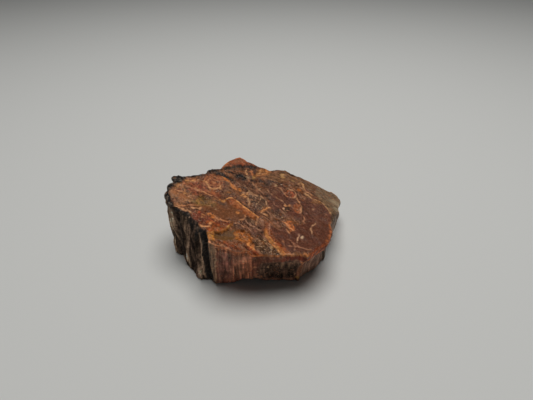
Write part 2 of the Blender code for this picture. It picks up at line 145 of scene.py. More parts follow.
# Ledges on the top: the side on the left of each line is higher, by a rise that fades with distance
LEDGES = {
    "plateau lip": ([(0.5, -12.0), (-2.0, -9.0), (-5.5, -6.0), (-9.0, -3.0), (-10.5, -2.5), (-14.5, -6.0)],
                    0.9, 8.0),
    "plateau end": ([(-6.5, -15.5), (-4.0, -13.5), (-2.0, -12.5), (0.5, -12.0)], 0.5, 3.0),
    "plateau front": ([(-18.5, -12.5), (-15.0, -15.0), (-13.5, -15.5), (-9.0, -15.0)], 0.5, 5.0),
    "scar lip": ([(-16.0, -22.5), (-13.0, -22.5), (-10.0, -19.5), (-8.5, -16.0)], 1.0, 5.0),
    "scar arc": ([(-7.5, -21.5), (-6.5, -20.0), (-5.0, -20.0), (-2.5, -22.0), (-1.0, -26.5), (-1.0, -29.5)],
                 0.7, 4.0),
    "lobe edge": ([(2.5, -12.0), (3.0, -20.5), (5.5, -25.0), (9.5, -29.5)], 0.8, 7.0),
    "curl": ([(17.5, -11.5), (17.0, -2.0), (15.5, 1.5)], 0.7, 3.0),
    "red patch": ([(14.5, 3.5), (12.0, 2.5), (9.0, 8.0), (7.0, 9.5)], 0.5, 4.0),
    "long vein": ([(-14.5, 11.0), (-9.0, 4.5), (-1.0, 2.0), (3.0, -1.0)], 0.6, 5.0),
    "right shelf": ([(28.5, -4.5), (25.5, 3.0), (19.0, 5.5)], 0.5, 5.0),
}
SMOOTH_LEDGES = ["scar lip", "scar arc"]
LEDGE_EDGE = 0.3
LEDGE_TAPER = 0.16
LEDGE_LEVEL = 0.35
LEDGE_STEP = 1.2
LEDGE_CRUMB = 1.9
LEDGE_WANDER = 0.45

# Growth rings cross the top in low ripples: direction across them, spacing and height
RING_WAY = (0.78, 0.63)
RING_SPACING = 3.6
RING_HEIGHT = 0.04
RING_LUMPS = 9.0
RING_WANDER = 1.4

# The round swirl in the colours: its middle, reach and spacing
SWIRL = ((-17.8, 6.4), 4.7, 1.75)

# Seams: a line, the depth of the groove along it and its half width
SEAMS = {
    "black seam": ([(-22.0, 13.5), (-15.0, 13.0), (-10.5, 11.0), (-5.0, 12.0), (5.0, 10.5)], 1.1, 1.3),
    "lobe foot": ([(-15.0, 18.0), (-11.5, 20.0), (-4.5, 22.5), (0.0, 23.0)], 0.9, 1.2),
    "pit": ([(10.5, -5.0), (13.0, -3.5)], 1.1, 1.5),
    "scar bowl": ([(-13.5, -24.0), (-7.0, -23.0)], 0.7, 2.6),
}

# Lumps on the top, and last the shoulders of its outline: place, radius and height
LUMPS = [
    ((-32.5, 4.0), 3.2, 0.8), ((-33.5, -4.0), 2.4, 0.5), ((-8.5, 26.0), 4.5, 0.9), ((-2.5, -29.0), 2.4, 0.6),
    ((11.5, -15.0), 2.2, 0.5), ((-15.5, -24.5), 2.2, 0.5), ((-18.0, 6.5), 4.0, 0.5),
    ((-2.5, 26.0), 2.4, 0.8), ((1.5, 22.5), 1.8, 0.5), ((-12.5, 24.5), 1.6, 0.3), ((-33.4, 6.0), 1.8, 0.1),
    ((-21.2, 13.9), 2.4, 2.1), ((-35.0, 0.5), 1.6, 0.8), ((-34.4, 3.4), 1.6, 0.7), ((-28.0, 9.0), 1.8, 0.5),
    ((34.8, 17.5), 1.8, 0.5),
]

# The knob of the crust at the upper left: azimuth, half width in degrees, how far it stands out, lowest share
KNOB = (169.0, 3.6, 1.5, 0.84)

# Roughness of the broken surfaces: size of the lumps and their height
TOP_ROUGH = [(6.0, 0.45), (2.8, 0.22)]
WALL_ROUGH = [(9.0, 0.8), (4.0, 0.35)]
WALL_EASE = 0.16
GRAIN_STRETCH = 3.2

# The flat that it rests on
FLAT = [
    (-21.0, 0.5), (-23.0, -7.0), (-15.5, -10.5), (-14.0, -15.5), (-5.0, -12.0), (3.0, -13.5), (12.0, -11.5),
    (15.0, -15.5), (19.5, -8.0), (17.0, -1.0), (21.5, 5.0), (14.0, 12.0), (6.0, 10.5), (0.5, 14.5),
    (-7.0, 11.0), (-13.5, 14.0), (-16.0, 6.0),
]
FOOT_EASE = 3.0
FOOT_EASE_PER_LIFT = 1.6
HOLLOW_SIZE = 7.0
HOLLOW_DEPTH = 1.5
HOLLOW_EASE = 2.0


# Broad colours of the top, far ones first: colour, softness of the edge in mm, outline in mm
TOP_AREAS = {
    "back brown": ((104, 74, 54), 1.2, [(1.9, 18.2), (7.2, 21.1), (11.7, 24.6), (18.6, 25.5), (26.0, 23.0),
        (22.6, 10.7), (19.2, 15.7), (14.4, 16.4), (8.2, 13.0), (4.0, 15.4)]),
    "end tan": ((110, 89, 69), 0.8, [(26.5, 23.5), (32.3, 22.5), (36.5, 19.4), (36.5, 14.5), (33.0, -0.2),
        (28.9, -5.3), (27.3, 0.4), (25.3, 4.6), (23.8, 9.2)]),
    "right grey": ((93, 68, 54), 0.8, [(22.3, -0.2), (25.0, 1.6), (26.8, -3.1), (28.2, -5.6), (24.9, -6.2),
        (22.8, -4.9)]),
    "back lobe": ((124, 72, 52), 0.6, [(-17.0, 18.5), (-12.9, 26.3), (-8.6, 31.5), (-1.0, 26.0), (3.0, 24.8),
        (-1.7, 23.5), (-5.6, 23.5), (-11.6, 21.1), (-14.0, 19.4)]),
    "fan": ((138, 92, 60), 0.6, [(-1.2, 23.0), (3.3, 23.5), (5.8, 21.7), (4.0, 17.3), (-0.2, 15.2),
        (-2.7, 14.8)]),
    "lobe shade": ((102, 71, 56), 0.5, [(-4.4, 23.0), (-1.2, 24.1), (0.1, 20.6), (-1.1, 17.6), (-3.6, 16.1)]),
    "left orange": ((128, 88, 66), 0.6, [(-30.2, 5.3), (-27.3, 7.6), (-24.2, 7.1), (-21.8, 7.7), (-23.1, 5.0),
        (-27.0, 4.6), (-29.4, 3.5)]),
    "pink field": ((126, 76, 58), 0.6, [(-29.1, 3.8), (-23.1, 5.5), (-19.5, 1.7), (-14.9, 1.6), (-14.0, -1.0),
        (-14.7, -4.3), (-16.7, -3.1), (-19.1, -2.9), (-21.0, -1.9), (-22.8, -2.9), (-25.4, -3.4),
        (-28.7, 0.4)]),
    "pale end": ((138, 99, 76), 0.7, [(-33.8, -4.1), (-33.0, -0.5), (-31.7, 1.0), (-29.6, 2.2), (-26.6, 1.9),
        (-27.5, 0.0), (-25.0, -2.6), (-22.4, -4.1), (-24.3, -7.9), (-26.0, -9.7), (-28.4, -10.3),
        (-30.5, -8.9), (-31.5, -6.5), (-33.2, -5.8)]),
    "swirl field": ((132, 82, 58), 0.6, [(-22.1, 6.7), (-20.9, 9.7), (-18.5, 13.1), (-15.5, 12.1),
        (-13.8, 7.3), (-14.6, 3.4), (-17.3, 1.7), (-19.7, 2.2)]),
    "knot dark": ((97, 68, 53), 0.8, [(-14.7, 4.0), (-12.9, 6.4), (-10.4, 5.0), (-9.0, 1.0), (-10.4, -0.8),
        (-12.9, -2.8)]),
    "mid dark": ((94, 65, 50), 0.8, [(-5.3, 6.4), (-2.4, 6.8), (1.6, 4.6), (4.0, 7.1), (7.8, 7.4),
        (10.5, 3.4), (7.2, 1.1), (1.6, 2.5), (-3.2, 2.6)]),
    "red mid": ((91, 60, 48), 0.8, [(3.3, 8.6), (7.0, 11.6), (10.3, 9.5), (14.4, 0.8), (11.8, -2.3),
        (7.9, -2.0), (4.8, 1.1)]),
    "right red": ((87, 54, 44), 0.8, [(5.7, 1.9), (9.3, 5.5), (13.0, 5.8), (15.3, 2.6), (18.1, 2.2),
        (22.0, 5.5), (25.3, 4.6), (27.7, 0.4), (28.5, -5.6), (28.0, -9.8), (25.6, -10.9), (21.7, -11.5),
        (17.1, -11.3), (13.0, -10.4), (5.5, -6.5), (3.3, -3.1)]),
    "speckle far": ((80, 58, 46), 0.5, [(-3.5, 1.0), (0.1, 1.1), (3.3, 0.1), (4.0, -2.9), (1.8, -7.1),
        (-0.9, -6.1), (-3.0, -3.2)]),
    "speckle near": ((78, 53, 42), 0.8, [(5.0, -7.2), (8.0, -5.4), (11.2, -8.2), (9.8, -11.2), (6.4, -10.6)]),
    "end low": ((68, 57, 47), 0.7, [(27.6, -10.5), (28.3, -7.0), (29.6, -4.0), (31.2, -3.2), (33.0, -4.0),
        (30.0, -11.0)]),
    "striated": ((89, 57, 44), 0.8, [(-6.9, -14.5), (-4.1, -13.1), (0.3, -12.7), (3.3, -14.9), (2.8, -21.1),
        (0.4, -22.7), (-5.0, -19.0), (-7.5, -18.1)]),
    "speckle mid": ((90, 65, 50), 0.4, [(-4.1, -13.4), (-2.0, -13.1), (0.3, -13.6), (0.4, -16.6),
        (-4.4, -14.5)]),
    "speckle low": ((74, 50, 34), 0.5, [(-0.2, -22.7), (2.8, -22.1), (4.6, -23.8), (8.4, -28.9), (5.2, -30.8),
        (1.9, -30.5), (-0.2, -29.0), (-0.8, -26.0)]),
    "lobe": ((84, 50, 39), 0.5, [(4.0, -16.1), (8.4, -17.2), (14.2, -14.5), (20.7, -10.3), (26.1, -9.1),
        (27.7, -11.6), (28.4, -14.5), (27.0, -18.5), (20.7, -25.8), (16.8, -27.2), (8.1, -27.5),
        (3.9, -21.4)]),
    "lobe amber": ((130, 68, 38), 0.6, [(3.4, -18.0), (5.2, -18.5), (6.4, -22.3), (12.0, -28.4), (9.6, -29.8),
        (7.2, -27.2), (3.4, -21.0)]),
    "lobe left red": ((124, 72, 48), 0.5, [(3.3, -14.9), (4.8, -14.0), (4.0, -22.1), (2.8, -19.7)]),
    "olive flat": ((104, 66, 45), 0.4, [(-24.6, -6.4), (-22.4, -3.4), (-17.4, -4.4), (-15.0, -5.6),
        (-12.6, -5.2), (-9.3, -4.0), (-3.3, -10.0), (-4.1, -13.1), (-6.2, -15.1), (-9.0, -14.9),
        (-11.6, -15.5), (-14.0, -15.1), (-15.8, -12.5), (-20.4, -10.4), (-22.5, -10.3), (-24.2, -8.9)]),
    "olive tint": ((106, 80, 46), 1.1, [(-24.6, -6.4), (-22.4, -3.4), (-17.3, -5.0), (-15.6, -7.0),
        (-16.2, -8.5), (-19.5, -8.2), (-22.4, -9.1)]),
    "plateau band": ((126, 70, 40), 0.7, [(-12.3, -4.9), (-10.2, -3.0), (-8.3, -3.4), (0.6, -11.8),
        (-0.2, -12.8), (-2.0, -12.7), (-4.5, -11.6), (-9.2, -7.0)]),
    "red strip": ((102, 54, 42), 0.6, [(-25.1, -13.0), (-21.9, -12.5), (-19.4, -13.0), (-17.4, -14.0),
        (-15.5, -15.8), (-13.2, -16.6), (-10.1, -16.3), (-9.3, -17.0), (-11.7, -17.8), (-15.3, -17.6),
        (-17.7, -17.9), (-20.0, -18.8), (-22.4, -16.7)]),
    "orange scar": ((134, 72, 38), 0.5, [(-18.5, -17.3), (-16.8, -16.4), (-15.3, -17.6), (-8.9, -17.0),
        (-10.8, -20.2), (-12.8, -22.0), (-14.7, -22.4), (-17.0, -21.7)]),
    "yellow corner": ((166, 108, 52), 0.4, [(-17.1, -22.4), (-14.7, -22.1), (-14.3, -23.3), (-14.4, -25.9),
        (-16.4, -26.3), (-17.3, -24.1)]),
    "olive bowl": ((94, 65, 38), 0.4, [(-14.4, -22.7), (-12.2, -21.8), (-10.2, -20.2), (-8.1, -19.6),
        (-7.4, -20.0), (-7.5, -22.3), (-8.4, -24.8), (-10.8, -25.4), (-14.6, -24.7)]),
    "orange arc": ((154, 92, 43), 0.5, [(-8.0, -20.6), (-5.9, -19.7), (-4.2, -20.2), (-2.4, -21.7),
        (-1.2, -25.0), (-0.8, -28.0), (-2.1, -27.5), (-3.3, -25.0), (-5.0, -25.4), (-7.1, -24.2)]),
    "rim pocket": ((84, 40, 32), 0.5, [(-9.6, -27.2), (-7.2, -27.9), (-5.6, -29.4), (-8.0, -29.2),
        (-10.0, -28.2)]),
    "lower left red": ((104, 56, 35), 0.5, [(-15.0, -26.8), (-12.3, -26.9), (-7.8, -29.5), (-4.4, -29.8),
        (-3.2, -28.9), (-3.3, -25.3), (-9.0, -25.9), (-11.7, -25.6)]),
    "front bright": ((124, 60, 30), 0.4, [(-4.4, -29.6), (-3.2, -27.2), (-1.5, -27.4), (-0.8, -29.5),
        (2.4, -30.4), (-0.5, -32.0), (-2.9, -31.5), (-4.8, -30.2)]),
    "curl patch": ((124, 72, 48), 0.4, [(15.0, -1.3), (16.9, -1.8), (16.9, -6.4), (15.4, -7.3), (14.1, -5.0),
        (13.5, -2.6)]),
    "u patch": ((122, 66, 44), 0.4, [(10.2, 7.6), (11.8, 8.2), (15.4, 5.0), (14.5, 3.2), (12.4, 2.2),
        (10.9, 4.1)]),
    "chip": ((158, 92, 52), 0.3, [(10.3, -13.4), (11.1, -12.5), (12.9, -12.2), (13.0, -14.5), (14.1, -15.8),
        (11.8, -18.8), (10.8, -17.5), (10.9, -15.4)]),
    "pit": ((62, 44, 34), 0.5, [(10.3, -3.4), (12.3, -2.8), (13.0, -4.6), (11.2, -7.3), (9.7, -7.3)]),
    "orange patch right": ((128, 86, 58), 0.7, [(21.3, 1.7), (23.7, 4.1), (26.1, 3.5), (25.6, 0.4),
        (22.8, 0.1)]),
    "dark under chip": ((84, 50, 32), 0.5, [(15.6, 7.4), (19.0, 8.4), (20.2, 7.4), (18.0, 5.9), (15.9, 6.0)]),
}

# Veins and seams of the top, and painted shadows beside two ledges: colour, half width in mm, strength, rise in
# mm, line in mm
TOP_LINES = {
    "plateau glow": ((134, 76, 42), 0.8, 0.6, 0.0, [(-8.6, -4.6), (-7.8, -6.6), (-5.6, -7.6), (-4.4, -9.0),
        (-1.6, -11.6), (-0.3, -12.3)]),
    "plateau lip": ((194, 130, 82), 0.27, 0.95, 0.12, [(-12.8, -3.5), (-11.9, -2.6), (-9.6, -2.0),
        (-8.2, -3.6), (-7.4, -5.3), (-0.9, -10.6), (0.3, -11.8), (0.4, -12.7)]),
    "plateau drop": ((130, 88, 64), 0.28, 0.7, 0.05, [(0.1, -12.7), (-0.5, -14.3), (-0.2, -16.6)]),
    "vein orange": ((165, 100, 55), 0.4, 0.9, 0.1, [(-14.4, 11.8), (-13.5, 9.4), (-12.3, 8.5), (-11.0, 6.7),
        (-9.2, 4.9), (-6.3, 2.9)]),
    "vein cream": ((142, 106, 80), 0.28, 0.85, 0.08, [(-6.3, 2.9), (-5.1, 2.0), (-3.2, 2.2), (-0.8, 1.7),
        (2.1, 0.4), (3.0, -0.7), (3.3, -2.5), (4.0, -4.4)]),
    "vein split": ((138, 106, 84), 0.24, 0.8, 0.05, [(-3.9, 0.7), (-2.3, 1.4), (-0.5, -0.4)]),
    "arc yellow": ((158, 102, 52), 0.35, 0.9, 0.08, [(-14.4, -4.4), (-13.8, -5.2), (-12.9, -5.9),
        (-12.3, -5.0)]),
    "plateau dark line": ((74, 50, 32), 0.35, 0.6, 0.0, [(-14.6, -5.8), (-12.2, -7.1)]),
    "dark arc": ((84, 54, 42), 0.3, 0.7, 0.0, [(-22.2, -2.0), (-20.7, -1.7), (-19.5, -2.2)]),
    "left vein 1": ((156, 104, 74), 0.28, 0.7, 0.05, [(-30.0, -9.2), (-28.4, -10.1), (-25.8, -10.0),
        (-21.3, -8.8)]),
    "left vein 2": ((168, 120, 88), 0.25, 0.8, 0.05, [(-24.3, -10.9), (-22.1, -11.0), (-20.6, -9.5)]),
    "left rim cream": ((160, 116, 86), 0.35, 0.85, 0.05, [(-30.2, -10.3), (-26.6, -12.5), (-25.1, -13.0),
        (-23.7, -13.1)]),
    "left vein 3": ((148, 108, 76), 0.3, 0.6, 0.05, [(-27.0, -7.1), (-25.1, -8.0), (-24.2, -6.5),
        (-22.8, -5.9)]),
    "left vein 4": ((160, 112, 82), 0.28, 0.8, 0.05, [(-24.6, 1.7), (-20.9, -0.7), (-19.2, -1.3),
        (-18.6, -3.2), (-17.1, -2.5)]),
    "left vein 5": ((160, 114, 84), 0.28, 0.6, 0.05, [(-33.0, -2.2), (-29.1, -1.4), (-27.8, -2.9),
        (-27.0, -2.6)]),
    "left vein 6": ((158, 106, 68), 0.4, 0.75, 0.05, [(-31.8, 1.4), (-30.0, 2.3), (-29.4, 5.3),
        (-24.8, 5.9)]),
    "left vein 7": ((148, 98, 74), 0.25, 0.7, 0.05, [(-27.9, 1.0), (-25.7, 1.4), (-24.5, 0.8),
        (-22.4, -0.8)]),
    "swirl cream": ((166, 118, 82), 0.3, 0.9, 0.08, [(-21.6, 6.7), (-20.1, 4.1), (-18.8, 2.3), (-17.3, 2.3),
        (-15.3, 2.8), (-14.7, 5.5)]),
    "strip vein": ((156, 100, 70), 0.3, 0.85, 0.06, [(-17.6, -11.9), (-16.4, -13.7), (-15.2, -14.8),
        (-13.2, -16.1), (-9.3, -15.8)]),
    "strip vein 2": ((168, 96, 50), 0.4, 0.8, 0.05, [(-18.2, -12.6), (-17.0, -12.9), (-16.2, -14.4),
        (-15.4, -15.2)]),
    "scar corner": ((180, 122, 84), 0.38, 0.9, 0.08, [(-20.1, -19.9), (-18.5, -20.2), (-17.1, -20.0),
        (-16.8, -18.8), (-16.2, -18.1)]),
    # Painted shadow under the scar's lip
    "scar painted shadow": ((70, 46, 28), 0.4, 0.75, 0.0, [(-14.0, -22.9), (-12.3, -22.3), (-10.5, -20.7),
        (-9.6, -19.2)]),
    "scar lip": ((120, 66, 24), 0.33, 0.95, 0.08, [(-14.0, -22.3), (-12.5, -21.7), (-10.8, -20.2),
        (-8.7, -16.7)]),
    "scar tip": ((160, 112, 62), 0.3, 0.8, 0.0, [(-10.3, -19.3), (-9.1, -17.2)]),
    "scar red": ((108, 56, 40), 0.5, 0.6, 0.0, [(-14.6, -18.2), (-12.4, -18.3), (-10.2, -17.8)]),
    "rim front": ((166, 112, 82), 0.3, 0.9, 0.06, [(-16.6, -26.6), (-13.8, -28.4), (-12.2, -28.4),
        (-11.0, -27.7), (-9.8, -28.9), (-9.2, -29.2)]),
    "knob curl": ((180, 114, 68), 0.32, 0.95, 0.1, [(-2.4, -24.8), (-3.0, -26.2), (-2.1, -27.4),
        (-1.1, -28.1), (-0.9, -29.5)]),
    "lobe edge": ((154, 92, 48), 0.55, 0.9, 0.06, [(3.3, -18.2), (3.3, -20.2), (3.7, -21.5), (5.8, -25.1),
        (7.0, -26.8), (10.0, -29.9)]),
    "lobe edge cream": ((170, 118, 76), 0.2, 0.8, 0.04, [(3.0, -20.3), (8.4, -29.5)]),
    "lobe line 1": ((138, 94, 76), 0.2, 0.7, 0.03, [(4.5, -14.8), (4.6, -21.4)]),
    "lobe line 2": ((130, 84, 62), 0.3, 0.6, 0.03, [(9.4, -22.6), (9.4, -25.1), (9.1, -27.4)]),
    "lobe line 3": ((130, 88, 68), 0.25, 0.6, 0.03, [(10.9, -25.4), (14.1, -25.0), (16.8, -25.9),
        (19.2, -26.0)]),
    "lobe line 4": ((126, 84, 64), 0.2, 0.6, 0.03, [(13.0, -23.5), (13.3, -25.3), (13.2, -26.9)]),
    "lobe line 5": ((118, 74, 58), 0.25, 0.5, 0.03, [(10.6, -21.6), (15.2, -25.4)]),
    "chip line": ((176, 112, 76), 0.3, 0.9, 0.05, [(9.1, -12.4), (10.6, -13.7), (11.5, -15.5), (12.3, -16.4),
        (13.5, -16.7)]),
    "chip line 2": ((150, 102, 74), 0.3, 0.8, 0.05, [(11.7, -19.0), (10.5, -17.2)]),
    "streak": ((160, 122, 98), 0.26, 0.95, 0.06, [(15.1, -18.7), (14.1, -23.0)]),
    "crack": ((142, 106, 82), 0.25, 0.85, 0.04, [(22.2, -11.0), (20.7, -12.4), (20.1, -14.0), (19.8, -15.8),
        (19.9, -17.8)]),
    "curl": ((158, 112, 84), 0.3, 0.9, 0.08, [(15.7, 3.8), (15.7, 1.9), (17.4, -1.1), (16.8, -7.0),
        (15.9, -7.4)]),
    # Painted shadow beside the curl's edge, where the surface drops
    "curl painted shadow": ((62, 42, 34), 0.3, 0.7, 0.0, [(17.7, -1.6), (17.4, -7.0)]),
    "curl tail": ((138, 92, 70), 0.25, 0.85, 0.04, [(17.5, -7.9), (17.8, -9.7), (17.2, -11.8)]),
    "u line": ((148, 106, 80), 0.3, 0.85, 0.06, [(6.6, 9.4), (8.2, 9.2), (9.4, 8.0), (10.5, 4.9), (13.2, 1.9),
        (15.0, 3.8), (15.7, 5.9), (13.9, 6.8), (12.7, 8.8)]),
    "post": ((152, 112, 78), 0.45, 0.8, 0.06, [(17.5, 14.6), (18.6, 17.0), (19.2, 15.7), (19.0, 11.6),
        (19.5, 9.8)]),
    "tan line": ((150, 112, 80), 0.4, 0.85, 0.08, [(18.9, 7.0), (20.4, 5.5), (21.9, 3.5), (23.2, 4.0),
        (24.9, 3.7), (26.1, 3.0), (27.0, 1.0), (27.9, -1.7), (28.6, -5.0)]),
    "pink wedge": ((150, 104, 76), 0.45, 0.8, 0.04, [(19.6, 8.5), (21.0, 7.1), (22.6, 6.7)]),
    "box top": ((166, 112, 72), 0.35, 0.9, 0.06, [(-6.3, 1.6), (-5.1, 1.1), (-3.9, 1.3)]),
    "box low": ((166, 114, 74), 0.35, 0.9, 0.06, [(-6.6, 0.1), (-4.2, -0.2)]),
    "box side": ((144, 108, 78), 0.28, 0.85, 0.05, [(-4.1, 1.3), (-3.5, -1.0), (-3.0, -5.3)]),
    "v line": ((164, 106, 68), 0.35, 0.95, 0.06, [(1.3, -8.0), (2.5, -7.4), (4.2, -4.9), (4.8, -5.9)]),
    "v line 2": ((156, 112, 82), 0.3, 0.9, 0.05, [(1.3, -8.3), (4.0, -10.1)]),
    "lobe dark": ((50, 38, 32), 0.5, 0.9, -0.15, [(-9.0, 21.6), (-6.0, 23.2), (-3.2, 23.4), (-0.5, 23.9)]),
    "lobe orange": ((164, 96, 56), 0.5, 0.8, 0.1, [(-15.2, 19.6), (-14.0, 22.6), (-12.2, 25.4)]),
    "lobe crest": ((146, 78, 50), 0.5, 0.7, 0.1, [(-10.5, 27.5), (-8.5, 29.6), (-5.5, 27.4), (-2.0, 25.6)]),
    "fan ray 1": ((158, 116, 84), 0.3, 0.8, 0.1, [(-4.6, 15.0), (-5.6, 17.6), (-5.2, 20.0)]),
    "fan ray 2": ((150, 88, 58), 0.5, 0.8, 0.1, [(-2.8, 15.0), (-2.6, 17.5), (-3.4, 20.2)]),
    "fan ray 3": ((160, 116, 80), 0.3, 0.8, 0.1, [(-0.6, 16.0), (0.6, 18.8), (0.8, 21.6)]),
    "fan ray 4": ((152, 96, 62), 0.4, 0.8, 0.1, [(1.4, 16.6), (3.2, 19.2), (4.4, 21.6)]),
    "fan dark": ((66, 44, 34), 0.7, 0.8, -0.1, [(-1.8, 17.0), (-1.4, 19.6), (-2.0, 21.8)]),
    "back line 1": ((140, 104, 76), 0.25, 0.5, 0.05, [(1.0, 14.6), (5.0, 14.0), (9.0, 12.8)]),
    "back line 2": ((138, 102, 76), 0.25, 0.5, 0.05, [(6.0, 17.6), (9.6, 16.2), (12.6, 14.0)]),
    "back line 3": ((140, 96, 66), 0.3, 0.5, 0.05, [(11.0, 22.0), (15.0, 20.6), (19.0, 18.0)]),
    "back dark 1": ((60, 44, 36), 0.5, 0.8, -0.05, [(3.0, 13.0), (6.6, 12.4), (10.0, 12.6)]),
    "back dark 2": ((58, 42, 34), 0.6, 0.8, -0.05, [(9.6, 21.0), (13.0, 22.8), (16.0, 22.0)]),
    "rim amber": ((140, 84, 52), 0.5, 0.8, 0.0, [(-1.0, 25.2), (5.0, 23.2), (12.0, 26.3)]),
    "rim amber 2": ((146, 92, 54), 0.4, 0.7, 0.0, [(19.0, 24.8), (25.5, 23.3), (31.5, 20.8), (33.5, 21.7),
        (35.6, 16.0)]),
    "pit line": ((160, 108, 74), 0.3, 0.9, 0.05, [(10.3, -3.2), (13.0, -2.2)]),
    "mid line 1": ((130, 94, 70), 0.25, 0.7, 0.04, [(7.2, 1.7), (10.3, -1.1), (11.2, -2.5)]),
    "mid line 2": ((128, 94, 74), 0.25, 0.7, 0.04, [(3.6, 5.9), (4.8, 3.5), (6.0, 2.5)]),
    "mid line 3": ((134, 94, 70), 0.28, 0.75, 0.04, [(-2.6, 9.2), (1.2, 4.3)]),
    "mid line 4": ((120, 80, 62), 0.22, 0.6, 0.03, [(5.5, -1.3), (7.2, -3.2), (8.7, -5.5), (10.2, -7.3)]),
    "mid line 5": ((118, 80, 66), 0.2, 0.6, 0.03, [(1.8, -10.7), (4.0, -12.2), (8.7, -16.4)]),
    "mid line 6": ((114, 76, 62), 0.2, 0.5, 0.03, [(0.3, -12.2), (3.3, -14.9), (6.1, -15.8), (9.0, -18.1)]),
    "ring line 1": ((136, 100, 82), 0.2, 0.8, 0.04, [(-4.1, -14.8), (-0.8, -17.5), (1.2, -18.7)]),
    "ring line 2": ((124, 86, 70), 0.2, 0.7, 0.04, [(-5.0, -16.4), (-1.7, -19.6)]),
    "ring line 3": ((140, 98, 74), 0.22, 0.8, 0.04, [(-7.8, -16.9), (-6.0, -17.3), (-4.7, -18.4)]),
    "plateau ring": ((146, 98, 68), 0.25, 0.75, 0.04, [(-4.4, -12.2), (-4.1, -13.6), (-5.4, -15.1),
        (-6.5, -15.2)]),
    "seam a": ((34, 30, 27), 0.8, 0.95, -0.15, [(-18.0, 14.2), (-14.9, 14.2), (-13.1, 12.6), (-10.5, 8.4)]),
    "seam b": ((30, 27, 26), 0.8, 0.95, -0.12, [(-12.9, 16.7), (-11.6, 15.8), (-9.9, 14.0)]),
    "seam c": ((32, 28, 26), 0.8, 0.95, -0.12, [(-9.3, 12.8), (-7.7, 14.0), (-6.8, 13.0), (-5.1, 12.6)]),
    "seam d": ((56, 42, 36), 0.5, 0.9, -0.1, [(-3.5, 12.5), (-1.8, 12.2)]),
    "seam e": ((62, 46, 38), 0.5, 0.85, -0.1, [(0.7, 12.1), (1.9, 11.8)]),
    "seam f": ((70, 54, 42), 0.45, 0.8, -0.1, [(2.4, 11.5), (4.0, 11.6), (5.7, 11.0)]),
    "seam g": ((62, 52, 42), 0.5, 0.85, -0.1, [(-14.7, 19.0), (-11.0, 21.0), (-8.6, 21.8)]),
    "seam h": ((62, 46, 34), 0.6, 0.85, -0.1, [(-7.1, 22.3), (-6.5, 19.1)]),
    "seam i": ((66, 52, 46), 0.4, 0.8, -0.06, [(-5.3, 5.9), (-4.4, 3.8)]),
    "band grey": ((92, 76, 66), 0.5, 0.7, 0.0, [(-21.9, 11.6), (-19.4, 14.0), (-16.5, 15.0)]),
    "rim black 1": ((30, 27, 26), 1.3, 1.0, 0.05, [(-30.5, 7.6), (-28.7, 8.6), (-25.5, 9.8), (-22.5, 11.4),
        (-19.4, 15.4), (-16.7, 17.5)]),
    "rim black 2": ((62, 44, 36), 0.6, 0.85, 0.0, [(-1.0, 25.0), (2.0, 24.0)]),
    "rim black 3": ((52, 40, 34), 0.7, 0.9, 0.0, [(5.2, 23.0), (8.5, 24.4)]),
    "rim black 4": ((72, 58, 48), 0.6, 0.8, 0.0, [(13.0, 25.0), (15.0, 24.2), (18.5, 24.9)]),
    "bottom cream": ((152, 108, 82), 0.4, 0.8, 0.05, [(10.0, -29.4), (11.4, -29.2), (13.2, -28.6),
        (14.8, -28.5)]),
    "bottom orange": ((150, 92, 58), 0.5, 0.85, 0.05, [(16.0, -28.2), (16.9, -28.7), (18.0, -28.5),
        (19.5, -27.3)]),
    "lobe right rim": ((134, 70, 40), 0.85, 0.8, 0.0, [(28.6, -9.6), (28.2, -12.3), (28.2, -14.5),
        (27.2, -18.2), (25.6, -21.3)]),
    "bevel top": ((100, 50, 31), 0.7, 0.8, 0.0, [(25.2, -21.2), (23.3, -22.8), (18.4, -28.6)]),
}

